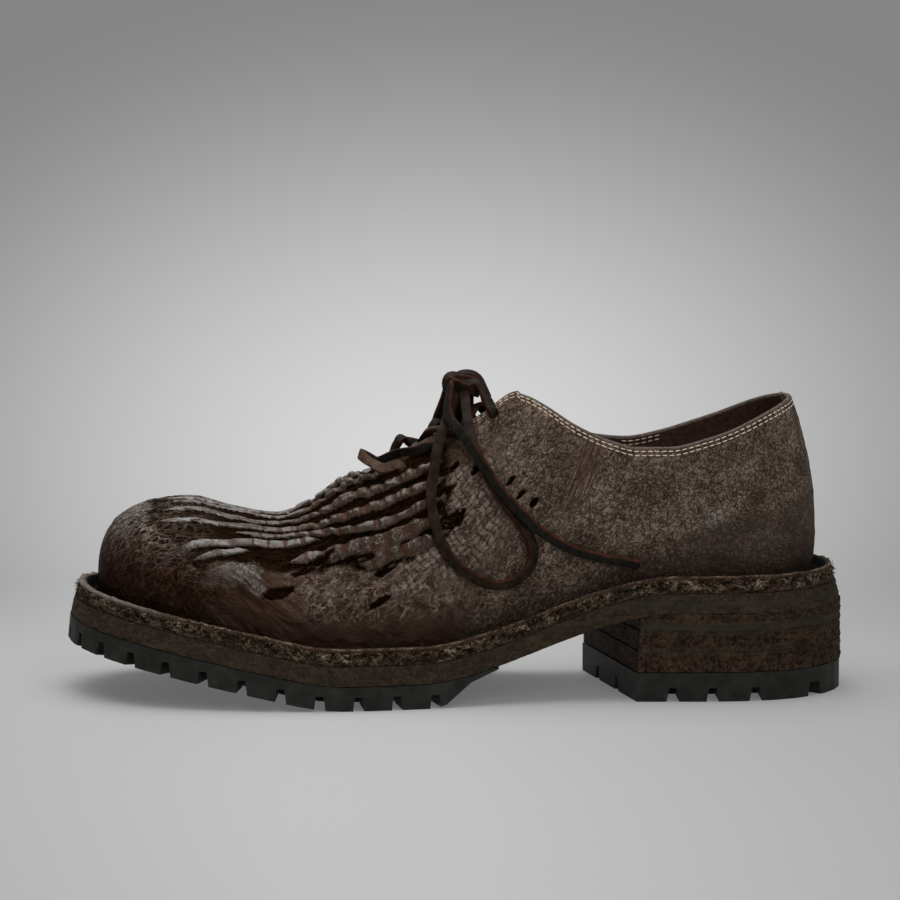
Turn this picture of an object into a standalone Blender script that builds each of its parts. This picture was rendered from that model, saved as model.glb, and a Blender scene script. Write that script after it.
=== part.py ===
"""A heavy hand-made derby shoe for the left foot, built on a last as a shoemaker builds it.

The toe points along -X, the outer (lateral) side faces -Y and the shoe stands on z = 0.
Sizes are in millimetres and become metres where a mesh is made.
"""

import math
from collections import namedtuple

import bmesh
import bpy
import numpy as np
from mathutils import Matrix, Vector

MM = 0.001
LATERAL, MEDIAL = -1, 1
SIDES = (LATERAL, MEDIAL)

# Driving sizes of the last and the upper.
TOE_X = -139.8
LAST_LENGTH = 280.5
BALL_WIDTH = 91.0
INSTEP_HEIGHT = 124.5
WALL = 2.2
SEAT_GAP = 0.3

# Driving sizes of the sole.
RUBBER = 9.6
MIDSOLE = 7.7
WELT_RIM_HEIGHT = 6.5
WELT_FLANGE = 2.4
WELT_RIM = 4.2
HEEL_PITCH = 25.2
HEEL_RUBBER = 11.6
LUG_PITCH = 15.2
LUG_DEPTH = 5.4
LUG_REACH = 18.0
GROOVE_ROOT = 3.0
GROOVE_MOUTH = 5.0
CHANNEL = 4.0
TOE_SPRING_START = -45.0
TOE_SPRING_ARC = 90.0
TOE_SPRING_ANGLE = math.radians(12.0)
WAIST_START, WAIST_END = -18.0, 86.0
BREAST_LATERAL, BREAST_MEDIAL = 68.5, 54.0
RUBBER_END, RUBBER_HEEL_STEP, RUBBER_LAST_LUG = 13.0, 1.5, -8.0
RUBBER_FEATHER = 0.8
RUBBER_SKIVE = 2.8

# Driving sizes of the throat, collar and lace.
THROAT_X, FACING_X = -31.0, 24.0
THROAT_ROUND = 5.0
GAP_FRONT, GAP_TOP = 4.5, 12.0
EYELET_FIRST_X, EYELET_PITCH, EYELET_ROWS = -22.5, 12.4, 4
EYELET_INSET_FRONT, EYELET_INSET_TOP = 9.5, 5.0
EYELET_RADIUS = 1.9
THONG_WIDTH, THONG_THICK, THONG_CLEAR = 3.6, 1.6, 0.9
CORD_RADIUS = 1.4
CORD_STEP = 7.0
BAR_LIFT = 4.5
TONGUE_THICK = 1.8
TONGUE_START, TONGUE_END, TONGUE_HALF = -41.0, 20.0, 22.0
TONGUE_CLEAR = 0.8
TONGUE_SAG = 3.6
INSOLE_THICK = 3.2
KNOT = Vector((3.5, 1.0, 121.0))
KNOT_RADII = Vector((8.0, 6.0, 5.4))
TAB_WIDTH, TAB_BELOW, TAB_ABOVE, TAB_THICK = 9.0, 13.0, 2.4, 1.4

# Spines that the toe's and the heel's sections fan out from.
TOE_SPINE = np.array((-104.0, 4.0))
HEEL_SPINE = np.array((107.0, 0.3))

# Feather edge in plan, as shares of the last's length and of the ball width.
Outline = namedtuple("Outline", "along lateral medial")
FEATHER_EDGE = (
    Outline(0.012, -0.143, 0.242),
    Outline(0.052, -0.302, 0.385),
    Outline(0.123, -0.418, 0.467),
    Outline(0.230, -0.489, 0.495),
    Outline(0.337, -0.505, 0.456),
    Outline(0.444, -0.467, 0.368),
    Outline(0.551, -0.407, 0.302),
    Outline(0.658, -0.368, 0.291),
    Outline(0.765, -0.357, 0.319),
    Outline(0.872, -0.357, 0.346),
    Outline(0.943, -0.302, 0.308),
    Outline(0.986, -0.165, 0.176),
)
TOE_TIP_SHARE, HEEL_TIP_SHARE = 0.055, 0.004

# Sections of the last. The ridge height is a share of the instep height, and the last rows lie
# above the collar. bulge is how far the wall leans out, rise how steeply it stands and shoulder
# how square its top is.
Section = namedtuple("Section", "x ridge ridge_y bulge rise shoulder_lateral shoulder_medial")
SECTIONS = (
    Section(-139.5, 0.612, 4.0, 4.6, 0.68, 0.80, 0.80),
    Section(-122.0, 0.614, 4.0, 4.8, 0.66, 0.77, 0.76),
    Section(-104.0, 0.610, 4.0, 4.5, 0.63, 0.72, 0.70),
    Section(-88.0, 0.580, 3.6, 4.0, 0.58, 0.68, 0.65),
    Section(-70.0, 0.556, 3.2, 3.2, 0.55, 0.64, 0.60),
    Section(-57.0, 0.594, 2.8, 3.0, 0.53, 0.62, 0.57),
    Section(-43.0, 0.668, 2.5, 3.0, 0.51, 0.60, 0.54),
    Section(-31.0, 0.708, 2.2, 3.0, 0.50, 0.58, 0.52),
    Section(-11.0, 0.811, 2.0, 3.0, 0.50, 0.58, 0.52),
    Section(8.0, 0.892, 1.8, 3.5, 0.50, 0.60, 0.54),
    Section(24.0, 1.000, 1.5, 4.0, 0.50, 0.60, 0.56),
    Section(45.0, 1.076, 1.0, 4.5, 0.50, 0.60, 0.58),
    Section(75.0, 1.173, 0.5, 5.0, 0.49, 0.60, 0.60),
    Section(107.0, 1.200, 0.3, 6.0, 0.44, 0.56, 0.56),
    Section(141.0, 1.200, 0.3, 9.5, 0.43, 0.48, 0.48),
)

# Top edge of the collar, followed along the feather edge from the facing to the back.
Collar = namedtuple("Collar", "x lateral medial")
COLLAR = (
    Collar(24.0, 119.0, 113.0),
    Collar(34.0, 113.8, 108.0),
    Collar(46.0, 106.2, 100.8),
    Collar(58.0, 100.8, 96.4),
    Collar(70.0, 97.8, 95.2),
    Collar(82.0, 97.8, 97.2),
    Collar(97.0, 101.0, 101.6),
    Collar(113.0, 106.4, 107.0),
    Collar(125.0, 110.6, 110.8),
    Collar(136.0, 113.6, 113.7),
    Collar(141.0, 114.8, 114.8),
)

# How far the welt stands out from the feather edge, and how much the sole's edge spreads
# towards the floor.
Margin = namedtuple("Margin", "x margin flare")
MARGINS = (
    Margin(-139.5, 9.0, 1.00),
    Margin(-110.0, 9.2, 0.55),
    Margin(-60.0, 9.5, 0.30),
    Margin(0.0, 8.2, 0.25),
    Margin(40.0, 6.4, 0.20),
    Margin(80.0, 7.6, 0.40),
    Margin(120.0, 8.6, 0.60),
    Margin(141.0, 9.0, 1.00),
)

# How far each layer's upper and lower edge stands out past the welt, flat and for each unit of flare.
Edge = namedtuple("Edge", "flat flared")
WELT_EDGE = Edge(-0.5, 0.0), Edge(0.0, 0.6)
MIDSOLE_EDGE = Edge(0.3, 0.8), Edge(0.4, 2.4)
RUBBER_EDGE = Edge(0.5, 2.6), Edge(0.6, 3.4)
HEEL_RUBBER_EDGE = Edge(0.4, 2.7), Edge(0.4, 2.6)

# The stacked leather of the heel: where each lift starts, its edges and how far its breast stands back.
Lift = namedtuple("Lift", "name base edge setback")
LIFTS = (
    Lift("heel_lift_bottom", 11.6, Edge(0.3, 2.8), 0.4),
    Lift("heel_lift_middle", 19.8, Edge(0.2, 2.8), 0.9),
    Lift("heel_lift_top", 27.8, Edge(0.2, 2.7), 1.4),
)

# Stretches of the lace that lie on the upper's side, in side view, with the lift of its middle
# off the leather.
Lay = namedtuple("Lay", "x z lift")
LATERAL_LOOP = (
    Lay(6.0, 103.0, 4.6),
    Lay(7.0, 96.5, 3.2),
    Lay(10.5, 89.0, 2.3),
    Lay(15.0, 81.0, 2.0),
    Lay(20.0, 74.5, 2.0),
    Lay(25.0, 67.5, 2.0),
    Lay(28.2, 60.5, 2.0),
    Lay(27.0, 53.5, 2.0),
    Lay(21.5, 48.0, 2.0),
    Lay(13.5, 46.2, 2.0),
    Lay(4.5, 49.3, 2.0),
    Lay(-3.0, 55.3, 2.0),
    Lay(-7.5, 62.5, 2.0),
    Lay(-10.3, 72.0, 2.0),
    Lay(-10.8, 80.0, 2.2),
    Lay(-8.8, 88.5, 3.4),
    Lay(-5.5, 96.5, 5.8),
)
LATERAL_END = (
    Lay(0.0, 103.0, 9.0),
    Lay(5.0, 97.5, 6.8),
    Lay(11.0, 89.0, 5.6),
    Lay(17.0, 80.5, 5.1),
    Lay(24.0, 72.8, 4.8),
    Lay(30.5, 67.0, 3.6),
    Lay(38.0, 62.3, 2.2),
    Lay(46.0, 58.6, 2.0),
    Lay(55.0, 56.2, 2.0),
    Lay(62.5, 54.8, 2.0),
    Lay(70.0, 53.6, 2.0),
)
MEDIAL_LOOP = (
    Lay(-5.0, 99.0, 6.4),
    Lay(-10.5, 88.0, 4.0),
    Lay(-13.0, 77.0, 2.0),
    Lay(-11.0, 66.0, 2.0),
    Lay(-3.0, 57.5, 2.0),
    Lay(7.5, 54.5, 2.0),
    Lay(16.0, 59.0, 2.0),
    Lay(18.0, 69.0, 2.0),
    Lay(14.0, 80.0, 2.1),
    Lay(8.5, 91.0, 4.4),
    Lay(4.0, 101.0, 6.8),
)
MEDIAL_END = (
    Lay(9.5, 102.0, 8.4),
    Lay(17.0, 93.0, 4.2),
    Lay(25.0, 83.5, 2.2),
    Lay(32.0, 74.0, 2.0),
    Lay(40.0, 66.5, 2.0),
    Lay(49.0, 62.0, 2.0),
    Lay(58.0, 60.0, 2.0),
)

TOE_STEPS, VAMP_STEPS, THROAT_STEPS, COLLAR_STEPS, HEEL_STEPS = 9, 9, 9, 10, 9
WALL_ROWS = 10


def column(rows, name):
    return np.array([getattr(row, name) for row in rows])


def smooth(xs, ys, x):
    """A curve through the rows of a table that never overshoots them."""
    xs, ys = np.asarray(xs, float), np.asarray(ys, float)
    x = np.clip(x, xs[0], xs[-1])
    slopes = np.diff(ys) / np.diff(xs)
    tangents = np.zeros_like(ys)
    same_way = slopes[:-1] * slopes[1:] > 0
    pair_sum = np.where(same_way, slopes[:-1] + slopes[1:], 1.0)
    tangents[1:-1] = np.where(same_way, 2 * slopes[:-1] * slopes[1:] / pair_sum, 0.0)
    tangents[0], tangents[-1] = slopes[0], slopes[-1]
    i = np.clip(np.searchsorted(xs, x) - 1, 0, len(xs) - 2)
    width = xs[i + 1] - xs[i]
    u = (x - xs[i]) / width
    return (
        ys[i] * (1 + 2 * u) * (1 - u) ** 2
        + tangents[i] * width * u * (1 - u) ** 2
        + ys[i + 1] * u * u * (3 - 2 * u)
        + tangents[i + 1] * width * u * u * (u - 1)
    )


def table(rows, name, x):
    return smooth(column(rows, "x"), column(rows, name), x)


def through(points, per_span, closed=False):
    """Points along a smooth curve that passes through the given ones."""
    points = np.asarray(points, float)
    if closed:
        padded = np.vstack([points[-1], points, points[:2]])
    else:
        padded = np.vstack([2 * points[0] - points[1], points, 2 * points[-1] - points[-2]])
    u = np.linspace(0, 1, per_span, endpoint=False)[:, None]
    spans = []
    for a, b, c, d in zip(padded, padded[1:], padded[2:], padded[3:]):
        spans.append(0.5 * (2 * b + (c - a) * u + (2 * a - 5 * b + 4 * c - d) * u**2
                            + (3 * b - a - 3 * c + d) * u**3))
    curve = np.vstack(spans)
    return curve if closed else np.vstack([curve, points[-1]])


def spaced(curve, step):
    """The same curve with points an even step apart."""
    lengths = np.r_[0, np.cumsum(np.linalg.norm(np.diff(curve, axis=0), axis=1))]
    count = max(2, round(lengths[-1] / step) + 1)
    marks = np.linspace(0, lengths[-1], count)
    return np.column_stack([np.interp(marks, lengths, c) for c in curve.T])


def bezier(a, b, c, d, t):
    return a * (1 - t) ** 3 + 3 * b * t * (1 - t) ** 2 + 3 * c * t * t * (1 - t) + d * t**3


# Heights of the sole's layers, worked out along the shoe.


def toe_spring(x):
    bend = TOE_SPRING_ARC * math.sin(TOE_SPRING_ANGLE)
    ahead = np.maximum(TOE_SPRING_START - np.asarray(x, float), 0)
    on_arc = TOE_SPRING_ARC - np.sqrt(TOE_SPRING_ARC**2 - np.minimum(ahead, bend) ** 2)
    return on_arc + np.maximum(ahead - bend, 0) * math.tan(TOE_SPRING_ANGLE)


def seat(x):
    """Top of the midsole, where the upper's feather edge sits."""
    u = np.clip((np.asarray(x, float) - WAIST_START) / (WAIST_END - WAIST_START), 0, 1)
    return toe_spring(x) + RUBBER + MIDSOLE + HEEL_PITCH * u * u * (3 - 2 * u)


def midsole_bottom(x):
    return seat(x) - MIDSOLE


def rubber_bottom(x):
    """Tread line of the forefoot rubber, cut up steeply behind its last lug and skived out at the waist."""
    x = np.asarray(x, float)
    behind = np.clip((x - RUBBER_LAST_LUG) / (RUBBER_HEEL_STEP - RUBBER_LAST_LUG), 0, 1)
    skive = np.clip((x - RUBBER_HEEL_STEP) / (RUBBER_END - RUBBER_HEEL_STEP), 0, 1)
    thick = RUBBER_SKIVE + (RUBBER_FEATHER - RUBBER_SKIVE) * skive
    return toe_spring(x) * (1 - behind) + (midsole_bottom(x) - SEAT_GAP - thick) * behind


# Outline of the last in plan, and the stations that the sections stand on.


def feather_outline():
    """Dense points and outward normals of each half of the feather edge, from toe tip to heel tip."""
    xs = TOE_X + LAST_LENGTH * column(FEATHER_EDGE, "along")
    lateral = np.column_stack([xs, BALL_WIDTH * column(FEATHER_EDGE, "lateral")])
    medial = np.column_stack([xs, BALL_WIDTH * column(FEATHER_EDGE, "medial")])
    toe = (TOE_X, BALL_WIDTH * TOE_TIP_SHARE)
    heel = (TOE_X + LAST_LENGTH, BALL_WIDTH * HEEL_TIP_SHARE)
    per_span = 30
    curve = through(np.vstack([toe, lateral, heel, medial[::-1]]), per_span, closed=True)
    turn = np.gradient(np.vstack([curve[-2:], curve, curve[:2]]), axis=0)[2:-2]
    normals = np.column_stack([turn[:, 1], -turn[:, 0]])
    normals /= np.linalg.norm(normals, axis=1)[:, None]
    half = per_span * (len(xs) + 1)
    back = np.r_[0, np.arange(len(curve) - 1, half - 1, -1)]
    return {LATERAL: (curve[: half + 1], normals[: half + 1]), MEDIAL: (curve[back], normals[back])}


FEATHER = feather_outline()
Station = namedtuple("Station", "side foot normal spine")


def fan(side, spine, forward, angles):
    """Stations on rays that turn about a spine, from its front or back (0) to its side (a quarter turn)."""
    points, normals = FEATHER[side]
    away = points - spine
    turned = np.arctan2(side * away[:, 1], forward * away[:, 0])
    order = np.argsort(turned)
    found = []
    for angle in angles:
        foot = [np.interp(angle, turned[order], points[order, i]) for i in (0, 1)]
        normal = [np.interp(angle, turned[order], normals[order, i]) for i in (0, 1)]
        found.append(Station(side, np.array(foot), np.array(normal), spine))
    return found


def across(side, x):
    """A station straight across the shoe."""
    points, normals = FEATHER[side]
    foot = np.array((x, np.interp(x, points[:, 0], points[:, 1])))
    normal = np.array([np.interp(x, points[:, 0], normals[:, i]) for i in (0, 1)])
    return Station(side, foot, normal, np.array((x, table(SECTIONS, "ridge_y", x))))


def stations(side):
    """Every section of one side, from the toe tip round to the heel tip."""
    quarter = math.pi / 2
    toe = fan(side, TOE_SPINE, -1, np.linspace(0, quarter, TOE_STEPS, endpoint=False))
    heel = fan(side, HEEL_SPINE, 1, np.linspace(quarter, 0, HEEL_STEPS + 1)[1:])
    heel[-1] = heel[-1]._replace(foot=FEATHER[side][0][-1], normal=FEATHER[side][1][-1])
    toe[0] = toe[0]._replace(foot=FEATHER[side][0][0], normal=FEATHER[side][1][0])
    throat = np.linspace(THROAT_X, FACING_X, THROAT_STEPS + 1)
    xs = np.r_[
        np.linspace(TOE_SPINE[0], THROAT_X, VAMP_STEPS, endpoint=False),
        throat[0],
        throat[0] + THROAT_ROUND * 0.3,
        throat[1:-1],
        np.linspace(FACING_X, HEEL_SPINE[0], COLLAR_STEPS + 1),
    ]
    return toe + [across(side, x) for x in xs] + heel


# The upper's own surface: half a section runs from the feather edge (t = 0) to the ridge (t = 1).


def wall(station, t):
    """Outer surface of the upper, as x, y, z."""
    t = np.asarray(t, float)
    x = station.foot[0]
    reach = np.linalg.norm(station.foot - station.spine)
    base = seat(x) + SEAT_GAP
    ridge = INSTEP_HEIGHT * table(SECTIONS, "ridge", station.spine[0])
    name = "shoulder_lateral" if station.side == LATERAL else "shoulder_medial"
    bulge, rise = table(SECTIONS, "bulge", x), table(SECTIONS, "rise", x)
    out = bezier(reach, reach + bulge, reach * table(SECTIONS, name, x), 0, t)
    up = bezier(base, base + rise * (ridge - base), ridge, ridge, t)
    plan = station.spine + (station.foot - station.spine) * (out / reach)[..., None]
    return np.column_stack([plan.reshape(-1, 2), np.atleast_1d(up)])


def find(station, reached, low=0.0, high=1.0):
    """The t at which a test on the wall's point first comes true."""
    for _ in range(40):
        middle = (low + high) / 2
        if reached(wall(station, middle)[0]):
            high = middle
        else:
            low = middle
    return high


def from_ridge(station, point):
    return np.linalg.norm(point[:2] - station.spine)


def throat_half(x):
    """Half the gap between the facings, round at its front end."""
    along = np.clip((x - THROAT_X) / (FACING_X - THROAT_X), 0, 1)
    rounded = np.clip((x - THROAT_X) / THROAT_ROUND, 0, 1)
    return (GAP_FRONT + (GAP_TOP - GAP_FRONT) * along) * math.sqrt(rounded * (2 - rounded))


def collar_z(station):
    return table(COLLAR, "lateral" if station.side == LATERAL else "medial", station.foot[0])


def top_of(station):
    """Where the wall stops: at the ridge, at the facing's edge or at the collar."""
    x = station.foot[0]
    if x <= THROAT_X:
        return 1.0
    if x <= FACING_X:
        return find(station, lambda p: from_ridge(station, p) < throat_half(x))
    return find(station, lambda p: p[2] > collar_z(station))


def side_point(side, x, z, lift):
    """A point lifted off the side of the upper, found by its place in side view."""
    station = across(side, x)
    t = find(station, lambda p: p[2] > z)
    step = 0.01
    along = wall(station, min(t + step, 1)) - wall(station, t - step)
    ahead = wall(across(side, x + 1), t) - wall(across(side, x - 1), t)
    outward = np.cross(ahead[0], along[0]) * -side
    return wall(station, t)[0] + outward / np.linalg.norm(outward) * lift


# Making meshes, objects and finishes.


def finish(name, colour, roughness):
    material = bpy.data.materials.new(name)
    material.use_nodes = True
    shader = material.node_tree.nodes["Principled BSDF"]
    shader.inputs["Base Color"].default_value = (*colour, 1)
    shader.inputs["Roughness"].default_value = roughness
    shader.inputs["Metallic"].default_value = 0.0
    return material


def solid(name, points, faces, material, smooth_angle=40):
    """One named object from points in millimetres, with coinciding points joined."""
    build = bmesh.new()
    corners = [build.verts.new(Vector(p) * MM) for p in points]
    for face in faces:
        build.faces.new([corners[i] for i in face])
    bmesh.ops.remove_doubles(build, verts=build.verts, dist=0.01 * MM)
    bmesh.ops.dissolve_degenerate(build, edges=build.edges, dist=0.001 * MM)
    bmesh.ops.recalc_face_normals(build, faces=build.faces)
    mesh = bpy.data.meshes.new(name)
    build.to_mesh(mesh)
    build.free()
    mesh.shade_smooth()
    mesh.set_sharp_from_angle(angle=math.radians(smooth_angle))
    mesh.materials.append(material)
    obj = bpy.data.objects.new(name, mesh)
    bpy.context.scene.collection.objects.link(obj)
    return obj


def cutter(name, points, faces):
    obj = solid(name, points, faces, None)
    obj.hide_render = True
    obj.display_type = "WIRE"
    return obj


def cut(obj, tool, operation="DIFFERENCE"):
    modifier = obj.modifiers.new(f"{operation.lower()} {tool.name}", "BOOLEAN")
    modifier.operation = operation
    modifier.object = tool
    modifier.solver = "EXACT"


def grid_faces(rows, columns, first=0, wrap=False):
    """Quads over a grid of points, closed round its columns if asked."""
    faces = []
    for r in range(rows - 1):
        for c in range(columns if wrap else columns - 1):
            a, b = first + r * columns + c, first + r * columns + (c + 1) % columns
            faces.append((a, b, b + columns, a + columns))
    return faces


def layer_edge(station, edge):
    """A point of a sole layer's edge, outside the feather edge by the welt's margin."""
    x = station.foot[0]
    out = table(MARGINS, "margin", x) + edge.flat + edge.flared * table(MARGINS, "flare", x)
    return station.foot + station.normal * out


def slab(name, lateral, medial, edges, top, bottom, material):
    """A sole layer between two stretches of edge, with top and bottom heights as functions of x."""
    rings = []
    for edge, height in zip(edges, (top, bottom)):
        plan = [[layer_edge(s, edge) for s in half] for half in (lateral, medial)]
        rings += [[(*p, float(height(p[0]))) for p in half] for half in plan]
    count = len(lateral)
    points = [ring[i] for i in range(count) for ring in (rings[0], rings[1], rings[3], rings[2])]
    faces = grid_faces(count, 4, wrap=True)
    faces += [(0, 1, 2, 3), tuple(4 * (count - 1) + i for i in (3, 2, 1, 0))]
    return solid(name, points, faces, material, smooth_angle=30)


def ring(name, section, ground, material):
    """A closed ring round the shoe. section gives each station's corners: distance out and height."""
    loop = stations(LATERAL) + stations(MEDIAL)[-2:0:-1]
    points, corners = [], 0
    for station in loop:
        for out, height in section(station):
            place = station.foot + station.normal * out
            points.append((*place, float(ground(place[0])) + height))
        corners = len(section(station))
    faces = grid_faces(len(loop), corners, wrap=True)
    last = (len(loop) - 1) * corners
    for c in range(corners):
        d = (c + 1) % corners
        faces.append((last + c, last + d, d, c))
    return solid(name, points, faces, material, smooth_angle=35)


# The upper, its lining pieces and the insole.


def build_upper(leather):
    points, faces = [], []
    rows = WALL_ROWS + 1
    for side in SIDES:
        first = len(points)
        line = stations(side)
        for station in line:
            points += list(wall(station, np.linspace(0, top_of(station), rows)))
        faces += grid_faces(len(line), rows, first)
    upper = solid("upper", points, faces, leather, smooth_angle=60)
    shell = upper.modifiers.new("leather wall", "SOLIDIFY")
    shell.thickness = WALL * MM
    shell.offset = -1
    cut(upper, eyelet_punch())
    return upper


def eyelet_stations(side):
    rows = [EYELET_FIRST_X + EYELET_PITCH * i for i in range(EYELET_ROWS)]
    return [across(side, x) for x in rows]


def eyelet(station):
    """Middle of a lace hole on the upper's surface, and the direction out of the leather there."""
    x = station.foot[0]
    share = (x - EYELET_FIRST_X) / (EYELET_PITCH * (EYELET_ROWS - 1))
    inset = EYELET_INSET_FRONT + (EYELET_INSET_TOP - EYELET_INSET_FRONT) * share
    edge = wall(station, top_of(station))[0]
    point = wall(station, find(station, lambda p: np.linalg.norm(p - edge) < inset))[0]
    outward = side_point(station.side, x, point[2], 1.0) - point
    return Vector(point), Vector(outward)


def eyelet_punch():
    """All the round punches for the lace holes, as one cutter."""
    points, faces, sides = [], [], 10
    for side in SIDES:
        for station in eyelet_stations(side):
            middle, outward = eyelet(station)
            across_hole = outward.cross(Vector((1, 0, 0))).normalized()
            along_hole = outward.cross(across_hole)
            first = len(points)
            for depth in (-2 * WALL, 2 * WALL):
                for i in range(sides):
                    turn = 2 * math.pi * i / sides
                    spoke = across_hole * math.cos(turn) + along_hole * math.sin(turn)
                    points.append(middle + outward * depth + spoke * EYELET_RADIUS)
            faces += grid_faces(2, sides, first, wrap=True)
            faces += [tuple(first + i for i in range(sides))]
            faces += [tuple(first + sides + i for i in reversed(range(sides)))]
    return cutter("eyelet_punch", points, faces)


def inside_sheet(name, points, rows, columns, clear, thick, material):
    """A sheet that follows the inside of the upper, moved in from the outer surface and thickened."""
    sheet = solid(name, points, grid_faces(rows, columns), material, smooth_angle=60)
    mesh = sheet.data
    middle = sum((v.co for v in mesh.vertices), Vector()) / len(mesh.vertices)
    if mesh.vertices[0].normal.dot(mesh.vertices[0].co - middle) < 0:
        mesh.flip_normals()
    places = [v.co - v.normal * (clear * MM) for v in mesh.vertices]
    for vertex, place in zip(mesh.vertices, places):
        vertex.co = place
    shell = sheet.modifiers.new("leather", "SOLIDIFY")
    shell.thickness = thick * MM
    shell.offset = -1
    return sheet


def build_tongue(leather):
    xs = np.linspace(TONGUE_START, TONGUE_END, 12)
    half_rows = 5
    points = []
    for x in xs:
        round_end = math.sqrt(max(0.0, 1 - ((x - TONGUE_START) / (TONGUE_END - TONGUE_START)) ** 8))
        half = TONGUE_HALF * (0.72 + 0.28 * round_end)
        arcs = []
        for side in SIDES:
            station = across(side, x)
            edge = find(station, lambda p: from_ridge(station, p) < half)
            arc = wall(station, np.linspace(edge, 1, half_rows + 1))
            gap = throat_half(x) + 3.0
            inside = np.clip(1 - (np.linalg.norm(arc[:, :2] - station.spine, axis=1) / gap) ** 2, 0, 1)
            arc[:, 2] -= TONGUE_SAG * inside**1.5 * min(1.0, max(0.0, (x - THROAT_X) / 12))
            arcs.append(arc)
        points += list(arcs[0]) + list(arcs[1][-2::-1])
    return inside_sheet("tongue", points, len(xs), 2 * half_rows + 1, WALL + TONGUE_CLEAR,
                        TONGUE_THICK, leather)


def build_back_tab(leather):
    """The strip inside the back of the collar, standing a little above its edge."""
    count, rows = 5, 6
    spread = math.asin(TAB_WIDTH / 2 / (TOE_X + LAST_LENGTH - HEEL_SPINE[0]))
    points = []
    for angle in np.linspace(-spread, spread, count):
        side = LATERAL if angle < 0 else MEDIAL
        station = fan(side, HEEL_SPINE, 1, [abs(angle)])[0]
        top = collar_z(station)
        low = find(station, lambda p: p[2] > top - TAB_BELOW)
        high = find(station, lambda p: p[2] > top + TAB_ABOVE)
        points += list(wall(station, np.linspace(low, high, rows)))
    return inside_sheet("back_tab", points, count, rows, WALL + SEAT_GAP, TAB_THICK, leather)


def build_insole(leather):
    clear = WALL + 0.5
    rings = []
    for height in (SEAT_GAP + INSOLE_THICK, SEAT_GAP):
        for side in SIDES:
            inset = [s.foot - s.normal * clear for s in stations(side)]
            rings.append([(*p, float(seat(p[0])) + height) for p in inset])
    count = len(rings[0])
    points = [r[i] for i in range(count) for r in (rings[0], rings[1], rings[3], rings[2])]
    faces = grid_faces(count, 4, wrap=True)
    return solid("insole", points, faces, leather, smooth_angle=30)


# The sole.


def build_welt(leather):
    def section(station):
        x = station.foot[0]
        lean = [from_ridge(station, wall(station, t)[0]) for t in np.linspace(0, 0.2, 9)]
        inner = max(lean) - lean[0] + SEAT_GAP + 0.3
        margin = table(MARGINS, "margin", x)
        flare = table(MARGINS, "flare", x)
        upper_edge, lower_edge = (e.flat + e.flared * flare + margin for e in WELT_EDGE)
        rim = upper_edge - min(WELT_RIM, 0.55 * (upper_edge - inner))
        return (
            (inner, SEAT_GAP),
            (lower_edge, SEAT_GAP),
            (upper_edge, WELT_RIM_HEIGHT),
            (rim, WELT_RIM_HEIGHT),
            (rim - 0.6, WELT_FLANGE),
            (inner, WELT_FLANGE),
        )

    return ring("welt", section, seat, leather)


def build_midsole(leather):
    return slab("midsole", stations(LATERAL), stations(MEDIAL), MIDSOLE_EDGE, seat, midsole_bottom, leather)


def upto(side, x):
    """Stations from the toe tip to a place along the shoe, ending exactly there."""
    return [s for s in stations(side) if s.foot[0] < x - 1] + [across(side, x)]


def behind(side, x, count):
    """Evenly spread stations from a place along the shoe round to the heel tip."""
    points, normals = FEATHER[side]
    lengths = np.r_[0, np.cumsum(np.linalg.norm(np.diff(points, axis=0), axis=1))]
    marks = np.linspace(np.interp(x, points[:, 0], lengths), lengths[-1], count)
    found = []
    for mark in marks:
        foot = np.array([np.interp(mark, lengths, points[:, i]) for i in (0, 1)])
        normal = np.array([np.interp(mark, lengths, normals[:, i]) for i in (0, 1)])
        found.append(Station(side, foot, normal, foot))
    return found


def groove(middle, inward, reach, floor, root, wider=0.0):
    """A tapered bar across a lug edge, wider at the floor than at its root."""
    inward = np.array(inward) / np.linalg.norm(inward)
    across_bar = np.array((-inward[1], inward[0]))
    below = 2.0
    spread = (GROOVE_MOUTH - GROOVE_ROOT) / 2 / LUG_DEPTH
    points = []
    for along in (-reach[0], reach[1]):
        mouth, narrow = GROOVE_MOUTH / 2 + spread * below, GROOVE_ROOT / 2
        for height, half in ((floor - below, mouth + wider / 2), (root, narrow + wider / 2)):
            for way in (-1, 1):
                place = np.array(middle) + inward * along + across_bar * half * way
                points.append((*place, height))
    faces = [(0, 1, 3, 2), (4, 6, 7, 5), (0, 2, 6, 4), (1, 5, 7, 3), (0, 4, 5, 1), (2, 3, 7, 6)]
    return points, faces


def grooves(name, bars):
    points, faces = [], []
    for bar_points, bar_faces in bars:
        faces += [tuple(i + len(points) for i in face) for face in bar_faces]
        points += bar_points
    return cutter(name, points, faces)


def edge_bars(side, edge, first, last_x):
    """Grooves at an even pitch along one edge of the forefoot rubber."""
    points, normals = FEATHER[side]
    edges = np.array([layer_edge(Station(side, p, n, p), edge) for p, n in zip(points, normals)])
    lengths = np.r_[0, np.cumsum(np.linalg.norm(np.diff(edges, axis=0), axis=1))]
    bars = []
    for mark in np.arange(first, lengths[-1], LUG_PITCH):
        middle = [np.interp(mark, lengths, edges[:, i]) for i in (0, 1)]
        if middle[0] > last_x:
            break
        normal = np.array([np.interp(mark, lengths, normals[:, i]) for i in (0, 1)])
        floor = float(toe_spring(middle[0]))
        bars.append(groove(middle, -normal, (4.0, LUG_REACH), floor - 3.0, floor + LUG_DEPTH))
    return bars


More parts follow.
